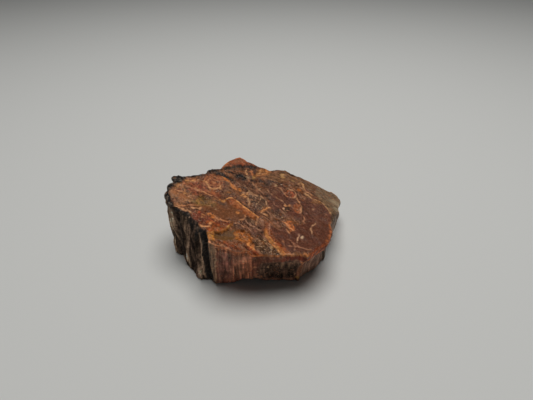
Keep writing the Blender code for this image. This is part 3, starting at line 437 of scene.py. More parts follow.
# Small spots of the top: colour, radius in mm, place in mm
TOP_SPOTS = {
    "cream dot": ((200, 168, 138), 0.75, (16.3, -19.9)), "crust pit": ((22, 16, 14), 1.1, (-30.6, -11.3)),
    "speck 1": ((146, 108, 78), 0.5, (-17.6, -8.0)), "speck 2": ((166, 130, 100), 0.45, (-15.2, -10.0)),
    "orange spot": ((190, 124, 76), 0.75, (-7.1, -11.2)), "pink spot": ((164, 124, 98), 0.5, (-6.5, -15.0)),
    "pit dot": ((205, 160, 128), 0.5, (10.0, -4.4)), "pit dot 2": ((150, 108, 86), 0.45, (11.8, -5.0)),
    "white seam": ((178, 160, 142), 0.6, (9.6, 11.5)), "cream seam": ((168, 138, 106), 0.8, (7.6, 10.4)),
    "mid cream": ((150, 122, 104), 0.6, (13.0, 11.3)), "far dot": ((132, 108, 86), 0.5, (16.0, 10.4)),
    "far orange": ((158, 94, 50), 1.1, (16.9, 8.3)), "far cream": ((160, 118, 92), 0.8, (18.0, 10.9)),
    "far yellow": ((146, 112, 76), 1.0, (15.1, 16.3)), "far tan": ((144, 112, 84), 0.8, (22.0, 13.3)),
    "right pink": ((146, 110, 86), 0.6, (21.7, -2.9)), "right dot": ((130, 96, 82), 0.6, (19.0, -5.9)),
    "fan cream": ((172, 128, 84), 1.1, (-1.8, 13.7)), "fan cream 2": ((160, 126, 98), 0.9, (-4.4, 13.4)),
    "back cream": ((182, 142, 100), 1.2, (10.2, 19.7)), "back cream 2": ((162, 124, 86), 1.0, (10.6, 18.1)),
    "middle cream": ((156, 120, 92), 0.6, (0.6, 5.6)), "box spot": ((190, 138, 90), 0.5, (-6.0, 1.0)),
    "v spot": ((196, 148, 116), 0.5, (4.2, -5.2)), "arc yellow spot": ((172, 118, 70), 0.7, (-6.9, -21.6)),
    "arc yellow spot 2": ((162, 104, 54), 0.7, (-7.0, -23.4)),
    "arc cream": ((192, 140, 94), 0.5, (-5.0, -22.7)), "scar pink": ((150, 102, 72), 0.7, (-13.5, -20.8)),
    "box cream": ((158, 128, 98), 0.45, (-3.2, 2.6)), "corner cream": ((188, 138, 70), 0.6, (-15.3, -23.9)),
    "low cream 1": ((160, 130, 98), 0.45, (2.8, -23.8)), "low cream 2": ((144, 118, 96), 0.45, (4.8, -25.4)),
    "low cream 3": ((162, 128, 92), 0.55, (5.2, -27.1)), "low cream 4": ((146, 114, 94), 0.35, (1.3, -26.2)),
    "low cream 5": ((152, 120, 94), 0.35, (1.6, -27.2)), "left orange": ((158, 94, 62), 1.0, (-17.3, -0.4)),
    "knot orange": ((134, 86, 52), 1.0, (-11.4, 1.3)), "strip orange": ((156, 80, 54), 0.8, (-21.2, -12.3)),
    "strip red": ((96, 50, 40), 0.6, (-19.7, -12.8)), "olive spot": ((128, 102, 74), 1.0, (-23.6, -7.6)),
    "left cream 2": ((170, 124, 86), 0.7, (-27.8, -2.9)), "left cream": ((166, 122, 92), 0.6, (-24.0, 6.5)),
    "left red": ((112, 58, 48), 0.9, (-22.8, 2.6)), "left grey": ((104, 80, 66), 0.6, (-28.8, -0.4)),
    "swirl orange": ((164, 96, 48), 1.0, (-12.9, 8.9)), "end light": ((150, 130, 106), 3.4, (32.8, 8.5)),
    "end dark": ((80, 66, 52), 1.6, (29.2, 7.0)), "end light 2": ((140, 124, 102), 2.4, (32.3, 1.6)),
    "pale warm": ((150, 98, 68), 1.8, (-28.2, -5.2)), "pale warm 2": ((154, 104, 74), 1.4, (-31.4, -3.6)),
}

# Black crust of the top, and the share of the height above which it covers the bark, by azimuth
TOP_CRUST = {
    "corner": [(-35.5, 4.6), (-33.6, 7.7), (-29.9, 8.7), (-28.8, 6.1), (-29.3, 2.9), (-33.2, 0.8),
        (-35.2, 1.6)],
    "rim": [(-36.0, -4.3), (-36.0, 0.5), (-33.2, 1.2), (-31.8, 1.0), (-33.0, -0.5), (-33.2, -4.0),
        (-32.9, -5.6), (-30.4, -10.0), (-31.5, -12.5), (-34.6, -8.5)],
    "front": [(-33.0, -11.3), (-30.0, -11.2), (-27.2, -12.9), (-24.5, -13.9), (-18.2, -22.8), (-16.9, -25.2),
        (-16.9, -27.5), (-24.1, -17.7), (-28.8, -14.7)],
}
CRUST_FROM = [(136.0, 0.76), (183.0, 0.78), (190.0, 0.86), (194.0, 0.93), (208.0, 0.93), (212.0, 0.8),
    (227.0, 0.76), (233.0, 0.84), (240.0, 0.92)]
CRUST_BLACK = (27, 26, 26)
CRUST_GREY = (92, 82, 73)

# How smooth some of the areas are, from 0 to 1; the others are 0
SMOOTH_AREAS = {"olive flat": 1.0, "lobe": 1.0, "olive bowl": 1.0, "right red": 0.72, "red mid": 0.55,
    "right grey": 0.6, "plateau band": 0.5, "back brown": 0.5, "back lobe": 0.4, "end tan": 0.45,
    "end low": 0.5}
SMOOTH_SIDES = {"dark facet": 0.1, "red belt": 0.85, "bevel": 0.6, "brown step": 0.4, "right facet": 0.6}

# Broad colours of the sides: colour, softness in mm, outline as azimuth in degrees and share of the height
SIDE_AREAS = {
    "tan strip": ((86, 66, 50), 0.4, [(234.0, -0.1), (237.3, -0.1), (238.3, 0.23), (242.8, 0.69),
        (243.8, 1.1), (237.8, 1.1), (237.8, 0.8), (234.6, 0.2)]),
    "front wall": ((108, 66, 48), 0.4, [(237.4, -0.1), (238.4, 0.23), (242.9, 0.69), (243.9, 1.1),
        (267.0, 1.1), (267.0, 0.45), (262.5, -0.1)]),
    "front wall left": ((93, 57, 47), 1.2, [(238.6, 0.02), (239.0, 0.2), (242.5, 0.5), (245.0, 0.88),
        (254.0, 0.86), (248.0, 0.02)]),
    "front wall top": ((116, 66, 42), 0.8, [(243.0, 0.9), (243.6, 1.1), (267.0, 1.1), (267.0, 0.92),
        (256.0, 0.88)]),
    "front wall foot": ((112, 67, 52), 0.6, [(238.0, -0.1), (238.4, 0.1), (258.0, 0.12), (262.5, -0.1)]),
    "wall edge": ((120, 70, 49), 0.9, [(260.5, 0.72), (266.6, 0.78), (266.0, 0.4), (264.0, 0.16),
        (260.0, 0.16)]),
    "red facet": ((98, 56, 42), 1.2, [(264.6, 0.04), (264.6, 0.3), (266.2, 0.5), (266.5, 0.72), (274.0, 0.7),
        (273.0, 0.3), (269.0, 0.02)]),
    # The dark facet faces down under the overhang: its colour is partly the stone's own dark brown and partly
    # painted shade
    "dark facet": ((45, 31, 24), 1.2, [(272.5, 0.56), (284.0, 0.68), (290.0, 0.8), (299.0, 0.74),
        (302.0, 0.6), (302.0, 0.15), (298.0, 0.06), (276.0, 0.06), (270.0, 0.1), (269.6, 0.28)]),
    # A paler band along the foot of the dark facet, partly the stone's colour and partly painted highlight where
    # the edge curls under
    "dark facet foot": ((78, 48, 37), 0.6, [(264.0, -0.1), (266.0, 0.08), (285.0, 0.05), (304.0, 0.1),
        (306.0, -0.1)]),
    "brown step": ((74, 38, 26), 0.7, [(266.5, 0.6), (267.0, 0.96), (286.0, 0.97), (286.0, 0.72),
        (275.0, 0.6)]),
    "red belt": ((84, 31, 15), 0.6, [(285.0, 0.76), (287.0, 0.98), (303.0, 0.98), (304.0, 0.84),
        (299.0, 0.79), (292.0, 0.82)]),
    "amber edge": ((116, 68, 36), 0.5, [(268.0, 0.94), (268.0, 1.1), (305.0, 1.1), (304.0, 0.95),
        (286.0, 0.96)]),
    "bevel": ((124, 60, 30), 0.7, [(303.0, 0.76), (303.0, 1.1), (329.0, 1.1), (325.0, 0.86), (315.0, 0.74)]),
    "facet edge": ((112, 70, 48), 1.2, [(303.0, 0.1), (303.6, 0.74), (311.0, 0.72), (309.0, 0.2)]),
    "right facet": ((102, 76, 63), 1.4, [(307.5, 0.0), (309.0, 0.62), (313.0, 0.7), (322.0, 0.76),
        (333.0, 0.8), (336.0, 0.0)]),
    "right end": ((86, 72, 59), 1.2, [(334.0, -0.1), (334.0, 1.1), (361.0, 1.1), (361.0, -0.1)]),
    "right end 2": ((108, 92, 75), 2.5, [(-2.0, -0.1), (-2.0, 1.1), (26.0, 1.1), (22.0, -0.1)]),
    "right end low": ((66, 55, 46), 1.2, [(335.0, 0.0), (336.0, 0.95), (347.0, 0.9), (352.0, 0.4),
        (350.0, 0.0)]),
    "back dark": ((74, 52, 42), 2.0, [(44.0, 0.0), (46.0, 0.9), (60.0, 0.95), (62.0, 0.1)]),
    "back red": ((104, 66, 52), 2.5, [(80.0, 0.3), (84.0, 1.1), (112.0, 1.1), (104.0, 0.2)]),
    "back tan": ((118, 88, 66), 1.6, [(112.0, 0.0), (116.0, 0.7), (128.0, 0.8), (126.0, 0.0)]),
}

# Lines of the sides: colour, half width in mm, strength, line; those of the bark; and spots as on the top
SIDE_LINES = {
    "cream vertical": ((138, 106, 82), 0.28, 0.85, [(243.8, 0.97), (242.8, 0.69), (238.3, 0.23),
        (237.5, 0.06)]),
    "tan thread": ((126, 100, 78), 0.2, 0.7, [(241.6, 0.96), (239.0, 0.5), (237.0, 0.28)]),
    "cream line": ((150, 122, 100), 0.22, 1.0, [(225.0, 0.99), (227.3, 0.91), (227.8, 0.7), (226.9, 0.41),
        (227.1, 0.15), (228.0, 0.05)]),
    "rim glow": ((138, 80, 52), 0.3, 0.45, [(242.6, 0.985), (246.0, 0.975), (250.0, 0.985), (254.0, 0.965),
        (258.0, 0.98), (263.0, 0.97), (268.0, 0.98)]),
    "rim cream": ((176, 126, 96), 0.2, 0.55, [(243.0, 0.96), (247.0, 0.94), (250.0, 0.955), (256.0, 0.935)]),
    "tan low": ((134, 108, 86), 0.2, 0.35, [(226.9, 0.16), (227.8, 0.04)]),
    "orange bits": ((172, 94, 50), 0.5, 0.9, [(265.5, 0.99), (267.5, 0.95), (271.0, 0.98), (274.0, 0.99)]),
    "orange chip": ((166, 98, 50), 0.5, 0.9, [(300.0, 0.73), (302.0, 0.76), (304.4, 0.76)]),
    "dark streak": ((72, 34, 28), 0.4, 0.75, [(252.0, 0.92), (257.0, 0.88), (262.0, 0.9)]),
    # Pale line along the foot of the dark facet, partly painted highlight where the edge curls under
    "pale foot": ((110, 78, 62), 0.35, 0.8, [(264.0, 0.12), (272.0, 0.04), (286.0, 0.03), (300.0, 0.05)]),
    "olive streak 1": ((104, 82, 58), 0.5, 0.6, [(288.5, 0.63), (289.8, 0.46)]),
    "olive streak 2": ((96, 76, 58), 0.4, 0.6, [(294.8, 0.58), (295.8, 0.4)]),
    "bevel dark": ((62, 30, 22), 0.7, 0.8, [(320.5, 0.93), (316.5, 0.9), (311.0, 0.9), (306.0, 0.86)]),
    "bevel orange": ((150, 84, 50), 0.5, 0.7, [(324.0, 0.84), (317.0, 0.8), (310.0, 0.78), (304.0, 0.8)]),
    "wall line 1": ((124, 88, 66), 0.2, 0.6, [(259.2, 0.93), (258.2, 0.6), (256.8, 0.35)]),
    "wall line 2": ((118, 82, 62), 0.2, 0.5, [(263.0, 0.85), (263.4, 0.5), (263.0, 0.3)]),
    "wall boundary": ((140, 82, 54), 0.4, 0.55, [(266.5, 0.9), (266.0, 0.45), (263.6, 0.2)]),
    "back crack": ((44, 32, 27), 0.4, 0.8, [(75.0, 1.0), (74.0, 0.6), (76.5, 0.3), (76.0, 0.0)]),
    "back crack 2": ((50, 36, 30), 0.35, 0.8, [(100.0, 0.9), (99.2, 0.5), (101.0, 0.1)]),
    "back vein": ((150, 116, 88), 0.35, 0.7, [(60.0, 0.98), (63.0, 0.7), (62.0, 0.4), (66.0, 0.2)]),
    "end crack": ((70, 56, 46), 0.35, 0.7, [(8.0, 1.0), (9.6, 0.2)]),
}
BARK_LINES = ["cream line", "tan low"]
SIDE_SPOTS = {
    "dark spot": ((54, 24, 20), 1.0, (249.6, 0.92)), "dark spot 2": ((60, 28, 22), 0.6, (252.3, 0.93)),
    "cream spot": ((172, 134, 100), 0.5, (279.2, 0.42)), "cream spot 2": ((150, 100, 66), 0.5, (270.5, 0.16)),
    "pink spot": ((138, 92, 66), 1.0, (268.2, 0.43)), "yellow low": ((142, 104, 58), 0.8, (303.2, 0.1)),
    "orange low": ((140, 84, 54), 0.6, (273.5, 0.1)), "tan foot": ((120, 96, 76), 1.0, (210.6, 0.05)),
}

# Bark: the azimuths where it starts and ends, the end by share of the height; its black band, pale columns and
# dark grooves, as outlines like those of the sides; and its colours
BARK_START = 136.0
BARK_END = [(0.0, 235.0), (0.31, 235.8), (0.56, 237.0), (0.84, 238.8), (1.0, 238.5)]
BLACK_BAND = [(225.0, 1.02), (227.4, 0.85), (227.5, 0.5), (227.4, 0.3), (228.0, 0.0), (234.4, 0.0),
    (235.2, 0.31), (236.6, 0.56), (238.4, 0.84), (238.0, 1.02)]
BARK_COLUMNS = [
    ((112, 92, 75), 0.7, [(188.0, -0.05), (189.0, 0.98), (198.5, 0.98), (197.0, 0.62), (195.4, 0.33),
        (194.2, -0.05)]),
    ((104, 84, 68), 0.75, [(207.0, -0.05), (207.6, 0.2), (208.6, 0.53), (207.4, 0.95), (211.4, 0.95),
        (211.8, 0.6), (211.6, -0.05)]),
]
# The first outline is the deepest groove, where painted shade is laid
DARK_GROOVES = [
    [(200.0, 0.9), (197.8, 0.64), (196.0, 0.33), (194.4, -0.05), (206.6, -0.05), (207.2, 0.2), (208.2, 0.53),
        (207.2, 0.79), (206.0, 0.95)],
    [(210.2, 1.0), (211.0, 0.83), (212.2, 0.57), (212.0, -0.05), (227.2, -0.05), (227.0, 0.5), (227.0, 0.8),
        (225.4, 1.0)],
]
BARK_RIDGE = (104, 84, 68)
BARK_FLANK = (58, 44, 36)
# Dark bark with painted shade, for the grooves and the cracks
BARK_GROOVE_SHADE = (26, 19, 16)
BARK_BLACK = (31, 29, 28)
BARK_DARK = (54, 42, 34)
BARK_STRAND = (124, 102, 84)
# Painted shade in the deepest groove
BARK_DEEP_SHADE = (20, 15, 13)

# General colours of the broken stone, of its split sides and of its underside
RED_BROWN = (100, 66, 49)
DARK_BROWN = (82, 54, 42)
WARM_BROWN = (118, 78, 54)
CREAM = (150, 112, 86)
# The pale specks and flecks are partly the stone's own and partly painted glints
SPECK_AND_GLINT = (176, 140, 108)
FLECK = (176, 146, 122)
PALE_THREAD = (158, 116, 92)
VEIN_CREAM = (196, 156, 124)
AMBER = (150, 88, 46)
SIDE_BROWN = (104, 72, 56)
SIDE_DARK = (74, 50, 40)
SIDE_PALE = (150, 114, 90)
SIDE_MOTTLE = 1.2
UNDER_STAIN = (132, 74, 52)

# Layers of noise: strength, size of the lumps in mm and seed
AREA_WANDER = [[(0.5, 2.2, 80), (0.1, 0.7, 81)], [(0.5, 2.2, 82), (0.1, 0.7, 83)]]
SIDE_WANDER = [[(0.3, 1.8, 120), (0.15, 0.7, 121)], [(0.5, 2.2, 122)]]
TOP_MOTTLE = [(0.5, 2.6, 106), (0.7, 1.2, 107), (0.7, 0.6, 108)]
SIDE_STREAKS = [(0.7, 1.3, 124), (0.9, 0.6, 125)]
SIDE_PATCHES = [(0.5, 2.6, 126), (0.25, 0.9, 127)]
EYE_WANDER = [(1.1, 3.0, 169), (0.3, 1.0, 171)]
FIBRE_RELIEF = [(0.13, 1.7, 70), (0.08, 0.8, 71)]
BARK_RELIEF = [(0.3, 2.0, 74), (0.26, 1.0, 75)]
CRUST_RELIEF = [(0.35, 1.1, 117), (0.2, 0.6, 118)]

# Winding veins on the left of the top, from a corner on to the left and back, and the rings of the round swirl
FLOW_CORNER = (-13.0, -20.0)
FLOW_EDGE = 4.0
SWIRL_PALE = (172, 120, 82)
SWIRL_DARK = (96, 48, 36)
EYE_PALE = (172, 118, 88)
EYE_DARK = (104, 54, 44)

# How much wider, lighter and stronger veins are drawn than they look from far, and how they fade and wear
PALE_FROM = 110
LINE_WIDEN = 1.15
LINE_LIGHTEN = 1.15
LINE_STRENGTH = 1.35
SIDE_STRENGTH = 1.15
LINE_FADE = 0.06
LINE_WEAR = 1.5
SEAM_WEAR = 0.8

# How much the mottle, veins and flakes are calmed where the top is smooth
CALM = 0.85

# How much lighter the stone is than it looks in shade, how rich the top is, and the limits of the colours
TOP_GAIN = 1.06
RICHNESS = 1.16
SIDE_GAIN = 2.4
BARK_GAIN = 1.4
UNDER_GAIN = 1.3
DARKEST = 0.003
LIGHTEST = 0.9

# Millimetres to a degree round the sides, and up them; the drum and the front plane that their fibres follow
PER_DEGREE = 0.55
PER_SHARE = 24.0
DRUM = 31.5
FRONT = (237.0, 301.0)
FRONT_LEAN = 0.89

# Softness of the bark's start and end in degrees, and the azimuth where the grey in its crust fades, and how soon
BARK_START_SOFT = 3.0
BARK_END_SOFT = 1.2
GREY_END = 208.0
GREY_FADE = 20.0

# The finest detail of the stone, as noise in its material: fineness, strength, roughness, and bump in metres
GRIT_SCALE = 1500.0
GRIT_SHADE = 0.34
GRIT_ROUGH = 0.18
# Pale flecks in the material, partly the stone's own and partly painted glints: their fineness and strength
FLECK_SCALE = 2600.0
FLECK_STRENGTH = 0.8
BUMP_DEPTH = 0.00012
DULL_ROUGH = 0.53
WAXY_ROUGH = 0.31
CRUST_ROUGH = 0.3
SPECULAR = 0.1
SHARP_FROM = 50.0

# The studio, in metres: paper, lamps (place, size and power), sky and camera
PAPER = (0.62, 0.62, 0.595)
PAPER_ROUGH = 0.9
PAPER_WIDTH = (-2.5, 2.5)
PAPER_DEPTH = (-2.0, 3.0)
LAMPS = {"overhead": ((0.03, 0.07, 0.7), 0.5, 4.2), "front_fill": ((-0.15, -0.8, 0.55), 0.6, 0.08)}
SKY = (0.95, 0.98, 1.0, 1.0)
SKY_STRENGTH = 0.04
CAMERA_PLACE = (0.00309, -0.12747, 0.11488)
LOOK_DOWN = 36.0
FOCAL_PIXELS = 400.0
IMAGE_WIDTH = 533.0
SENSOR = 36.0


def azimuth(x, y):
    """Direction in plan, in degrees from 0 to 360."""
    return np.degrees(np.arctan2(y, x)) % 360.0


def turn_past(angle, centre):
    """How far an azimuth is past another, from -180 to 180 degrees."""
    return (angle - centre + 180.0) % 360.0 - 180.0


def by_azimuth(knots, angle):
    """A value that runs evenly between knots of azimuth and value."""
    places, values = zip(*sorted(knots))
    return np.interp(angle, places, values, period=360.0)


def outline_radius(outline, angle):
    """Distance from the middle to an outline, along each azimuth."""
    angle = np.asarray(angle, dtype=float)
    radius = np.zeros_like(angle)
    way = np.radians(angle)
    ahead = np.stack([np.cos(way), np.sin(way)], axis=-1)
    for start, end in zip(outline, outline[1:] + outline[:1]):
        start = np.array(start)
        side = np.array(end) - start
        across = ahead[..., 0] * side[1] - ahead[..., 1] * side[0]
        across = np.where(np.abs(across) < 1e-9, 1e-9, across)
        reach = (start[0] * side[1] - start[1] * side[0]) / across
        share = (start[0] * ahead[..., 1] - start[1] * ahead[..., 0]) / across
        hit = (share >= -1e-6) & (share <= 1 + 1e-6) & (reach > 0)
        radius = np.where(hit, np.maximum(radius, reach), radius)
    return radius


def lattice_slope(cell, seed):
    """A fixed direction for each point of a lattice."""
    mixed = cell[:, 0] * 73856093 ^ cell[:, 1] * 19349663 ^ cell[:, 2] * 83492791 ^ (seed + 1) * 50331653
    parts = []
    for turn in range(3):
        mixed = (mixed ^ (mixed >> 15)) * 668265263 + turn
        parts.append((mixed >> 7 & 0xFFFF) / 32767.5 - 1.0)
    return np.stack(parts, axis=1)


def lumps(points, size, seed):
    """Smooth noise from about -1 to 1: lumps of a size in millimetres, in a pattern that the seed picks."""
    place = points / size
    cell = np.floor(place).astype(np.int64)
    part = place - cell
    ease = part ** 3 * (part * (part * 6 - 15) + 10)
    total = np.zeros(len(points))
    for corner in itertools.product((0, 1), repeat=3):
        weight = np.prod(np.where(corner, ease, 1 - ease), axis=1)
        slope = lattice_slope(cell + np.array(corner), seed)
        total += weight * np.sum(slope * (part - np.array(corner)), axis=1)
    return 1.5 * total


def ramp(value):
    """An even rise from 0 to 1."""
    value = np.clip(value, 0.0, 1.0)
    return value * value * (3 - 2 * value)


def layered(points, layers):
    """The sum of layers of noise."""
    return sum(strength * lumps(points, size, seed) for strength, size, seed in layers)


def patches(points, size, seed, level, contrast):
    """1 in patches of noise and 0 between them; a higher level gives more of them."""
    return ramp(level + contrast * lumps(points, size, seed))


def specks(points, size, seed, least, edge):
    """1 in specks where noise rises past a least value, with an edge of a given softness."""
    return ramp((lumps(points, size, seed) - least) / edge)


def cracks(points, size, seed, width):
    """1 along thin winding lines, falling to 0 beside them."""
    return np.exp(-(lumps(points, size, seed) / width) ** 2)


def beside(x, y, line):
    """Distance to a line, above 0 on its left, and the place along the line from 0 to 1."""
    lengths = [math.dist(a, b) for a, b in zip(line, line[1:])]
    nearest = np.full(np.shape(x), 1e9)
    signed = np.zeros(np.shape(x))
    place = np.zeros(np.shape(x))
    walked = 0.0
    for start, end, length in zip(line, line[1:], lengths):
        ux = (end[0] - start[0]) / length
        uy = (end[1] - start[1]) / length
        run = np.clip((x - start[0]) * ux + (y - start[1]) * uy, 0, length)
        off_x = x - start[0] - run * ux
        off_y = y - start[1] - run * uy
        gap = np.hypot(off_x, off_y)
        left = ux * (y - start[1]) - uy * (x - start[0])
        closer = gap - 1e-4 * np.abs(left) < nearest
        nearest = np.where(closer, gap - 1e-4 * np.abs(left), nearest)
        signed = np.where(closer, np.where(left < 0, -gap, gap), signed)
        place = np.where(closer, (walked + run) / sum(lengths), place)
        walked += length
    return signed, place


def spaced(line, step):
    """Places along a line, with its corners, no further apart than a step."""
    points = []
    for start, end in zip(line, line[1:]):
        count = max(1, math.ceil(math.dist(start, end) / step))
        for i in range(count):
            points.append(tuple(a + (b - a) * i / count for a, b in zip(start, end)))
    return points + [line[-1]]


def crumble(line, number):
    """A line with small wandering steps between its ends."""
    points = np.array(spaced(line, LEDGE_STEP))
    flat = flat_points(*points.T)
    shift = np.stack([lumps(flat, LEDGE_CRUMB, 40 + number), lumps(flat, LEDGE_CRUMB, 60 + number)], axis=1)
    shift[0] = shift[-1] = 0
    return [tuple(p) for p in points + LEDGE_WANDER * shift]


def inside(x, y, outline):
    """Whether each place is inside an outline."""
    result = np.zeros(np.shape(x), dtype=bool)
    for (ax, ay), (bx, by) in zip(outline, outline[1:] + outline[:1]):
        spans = (ay > y) != (by > y)
        rise = by - ay if by != ay else 1e-9
        result ^= spans & (x < ax + (y - ay) * (bx - ax) / rise)
    return result


def flat_points(x, y):
    """Places in plan as points at one height."""
    return np.stack([x, y, np.zeros_like(x)], axis=1)


def along_rings(x, y, stretch):
    """Places in plan turned so that the growth rings run along the second axis, and squeezed along them."""
    across = x * RING_WAY[0] + y * RING_WAY[1]
    along = y * RING_WAY[0] - x * RING_WAY[1]
    return flat_points(across, along / stretch)


def linear(colour):
    """A colour of 0 to 255 as light."""
    value = np.array(colour, dtype=float) / 255.0
    return np.where(value <= 0.04045, value / 12.92, ((value + 0.055) / 1.055) ** 2.4)


def plain(colour, count):
    """One colour for each of many points."""
    return np.tile(linear(colour), (count, 1))


def cover(colours, mask, colour):
    """Lay a colour over others, as far as a mask says."""
    return colours + (linear(colour) - colours) * mask[:, None]


def blend(colours, mask, others):
    """Lay many colours over others, as far as a mask says."""
    return colours + (others - colours) * mask[:, None]


def darken(colours, mask):
    """Take light away, as far as a mask says."""
    return colours * (1 - mask)[:, None]


def mottle(colours, shade):
    """Make colours lighter where a shade is above 0 and darker where it is below."""
    return colours * np.exp(shade)[:, None]


def lightened(colour):
    """The colour of a vein, lighter than it looks from far if it is pale."""
    if max(colour) <= PALE_FROM:
        return colour
    return tuple(0.75 * LINE_LIGHTEN * part + 0.25 * cream for part, cream in zip(colour, VEIN_CREAM))


def richer(colours):
    """Colours a little further from grey."""
    grey = colours.mean(axis=1, keepdims=True)
    return np.maximum(grey + RICHNESS * (colours - grey), np.maximum(0.7 * colours, 0.002))


def near_marks(x, y, line, margin):
    """Whether each place is within a margin of the box round a line."""
    xs, ys = zip(*line)
    return (x > min(xs) - margin) & (x < max(xs) + margin) & (y > min(ys) - margin) & (y < max(ys) + margin)


def area_mask(x, y, outline, soft):
    """1 inside an outline, falling to 0 outside over a soft edge."""
    mask = np.zeros(len(x))
    near = near_marks(x, y, outline, 4)
    if near.any():
        gap = np.abs(beside(x[near], y[near], outline + outline[:1])[0])
        gap = np.where(inside(x[near], y[near], outline), gap, -gap)
        mask[near] = ramp(0.5 + gap / (2 * soft))
    return mask


def rounded(line):
    """A line with its corners cut twice."""
    for _ in range(2):
        middle = []
        for (ax, ay), (bx, by) in zip(line, line[1:]):
            middle += [((1 - cut) * ax + cut * bx, (1 - cut) * ay + cut * by) for cut in (0.25, 0.75)]
        line = [line[0], *middle[1:-1], line[-1]] if len(line) > 2 else line
    return line


def line_mask(x, y, line, half, wobble, wear):
    """1 on a line, falling to 0 beside it; it fades at its ends, its width wanders and parts are worn."""
    line = rounded(line)
    mask = np.zeros(len(x))
    near = near_marks(x, y, line, 4 * half + 1)
    if near.any():
        gap, place = beside(x[near], y[near], line)
        width = half * (1 + 0.45 * wobble[near])
        ends = ramp(place / LINE_FADE) * ramp((1 - place) / LINE_FADE)
        worn = ramp(0.72 + wear * wobble[near])
        mask[near] = np.exp(-np.abs(gap / width) ** 3) * (0.35 + 0.65 * ends) * (0.3 + 0.7 * worn)
    return mask


def top_height(x, y):
    """Height of the broken top over a place in plan, as the solid has it."""
    height = TOP_LEVEL + TOP_SLOPE[0] * x + TOP_SLOPE[1] * y
    for start, way, fall in BEVELS:
        past = (x - start[0]) * way[0] + (y - start[1]) * way[1]
        height = height - fall * (past + np.hypot(past, BEVEL_ROUND)) / 2
    for number, (name, (line, rise, spread)) in enumerate(LEDGES.items()):
        side, place = beside(x, y, line if name in SMOOTH_LEDGES else crumble(line, number))
        taper = ramp(place / LEDGE_TAPER) * ramp((1 - place) / LEDGE_TAPER)
        step = ramp(0.5 + side / (2 * LEDGE_EDGE)) - LEDGE_LEVEL
        height = height + rise * taper * step * np.exp(-np.abs(side) / spread)
    for line, depth, half in SEAMS.values():
        height = height - depth * np.exp(-(beside(x, y, line)[0] / half) ** 2)
    for (px, py), radius, lift in LUMPS:
        height = height + lift * np.exp(-((x - px) ** 2 + (y - py) ** 2) / radius ** 2)
    flat = flat_points(x, y)
    across = x * RING_WAY[0] + y * RING_WAY[1] + RING_WANDER * lumps(flat, RING_LUMPS, 5)
    height = height + RING_HEIGHT * np.sin(2 * np.pi * across / RING_SPACING)
    for number, (size, rough) in enumerate(TOP_ROUGH):
        height = height + rough * lumps(flat, size, number)
    return height


def bark_depth(angle, share):
    """Depth of the bark's grooves at an azimuth and a share of the height."""
    depth = np.zeros(np.shape(angle))
    for rim_angle, foot_angle, half, deep in BARK:
        past = turn_past(angle, foot_angle + (rim_angle - foot_angle) * share)
        depth = depth + deep * np.exp(-((past / half) ** 2))
    for from_end in (1 - share, share):
        depth = depth * (BARK_AT_ENDS + (1 - BARK_AT_ENDS) * ramp(from_end / BARK_RISE))
    return depth


def split_rise(angle, share):
    """How far the splits stand out at an azimuth and a share of the height."""
    rise = np.zeros(np.shape(angle))
    for rim_angle, foot_angle, step, spread in SPLITS:
        past = turn_past(angle, foot_angle + (rim_angle - foot_angle) * share)
        rise = rise + step * (ramp(0.5 + past / (2 * SPLIT_EDGE)) - 0.5) * np.exp(-np.abs(past) / spread)
    return rise * ramp((1 - share) / SPLIT_RISE)


def bark_share(angle, share):
    """1 on the bark, 0 on the split sides."""
    end = np.interp(share, *zip(*BARK_END))
    return ramp(0.5 + (angle - BARK_START) / BARK_START_SOFT) * ramp(0.5 + (end - angle) / BARK_END_SOFT)


def grain(points, angle, share, stretch):
    """Places in which noise runs as straight fibres: round a drum, and along a plane over the front."""
    way = np.radians(angle)
    front = (angle > FRONT[0]) & (angle < FRONT[1])
    across = np.where(front, points[:, 0] * (FRONT_LEAN + (1 - FRONT_LEAN) * share), DRUM * np.cos(way))
    deep = np.where(front, -DRUM, DRUM * np.sin(way))
    return np.stack([across, deep, share * PER_SHARE / stretch], axis=1)


def bark_cracks(points, angle, share):
    """1 in the cracks between the fibres of the bark."""
    wide = cracks(grain(points, angle, share, 7.0), 2.0, 150, 0.13)
    return np.clip(0.8 * wide + 0.6 * cracks(grain(points, angle, share, 12.0), 1.3, 151, 0.13), 0, 1)


def steps_of(field, start, width):
    """A field cut into even steps with sloping edges: one step for each whole number that it passes."""
    level = np.floor(field)
    return level + ramp((field - level - start) / width + 0.5)


def side_relief(points, angle, share):
    """Fine relief of the sides, in millimetres outward: fibres up the split faces, and rough bark."""
    bark = bark_share(angle, share)
    fibre = grain(points, angle, share, 9.0)
    cross = grain(points, angle, share, 6.0)
    split = layered(fibre, FIBRE_RELIEF) + 0.22 * steps_of(lumps(cross, 4.2, 72) * 2.4, 0.5, 0.2)
    split = split + 0.1 * lumps(points, 1.1, 73)
    rough = layered(cross, BARK_RELIEF) + 0.08 * lumps(points, 0.8, 76)
    rough = 1.3 * rough - 0.6 * bark_cracks(points, angle, share)
    rough = rough + 0.4 * ramp((share - 0.72) / 0.2) * lumps(points, 1.5, 77)
    ease = ramp((1.02 - share) / 0.1) * ramp((share + 0.03) / 0.08)
    return (split * (1 - bark) + rough * bark) * (0.35 + 0.65 * ease)


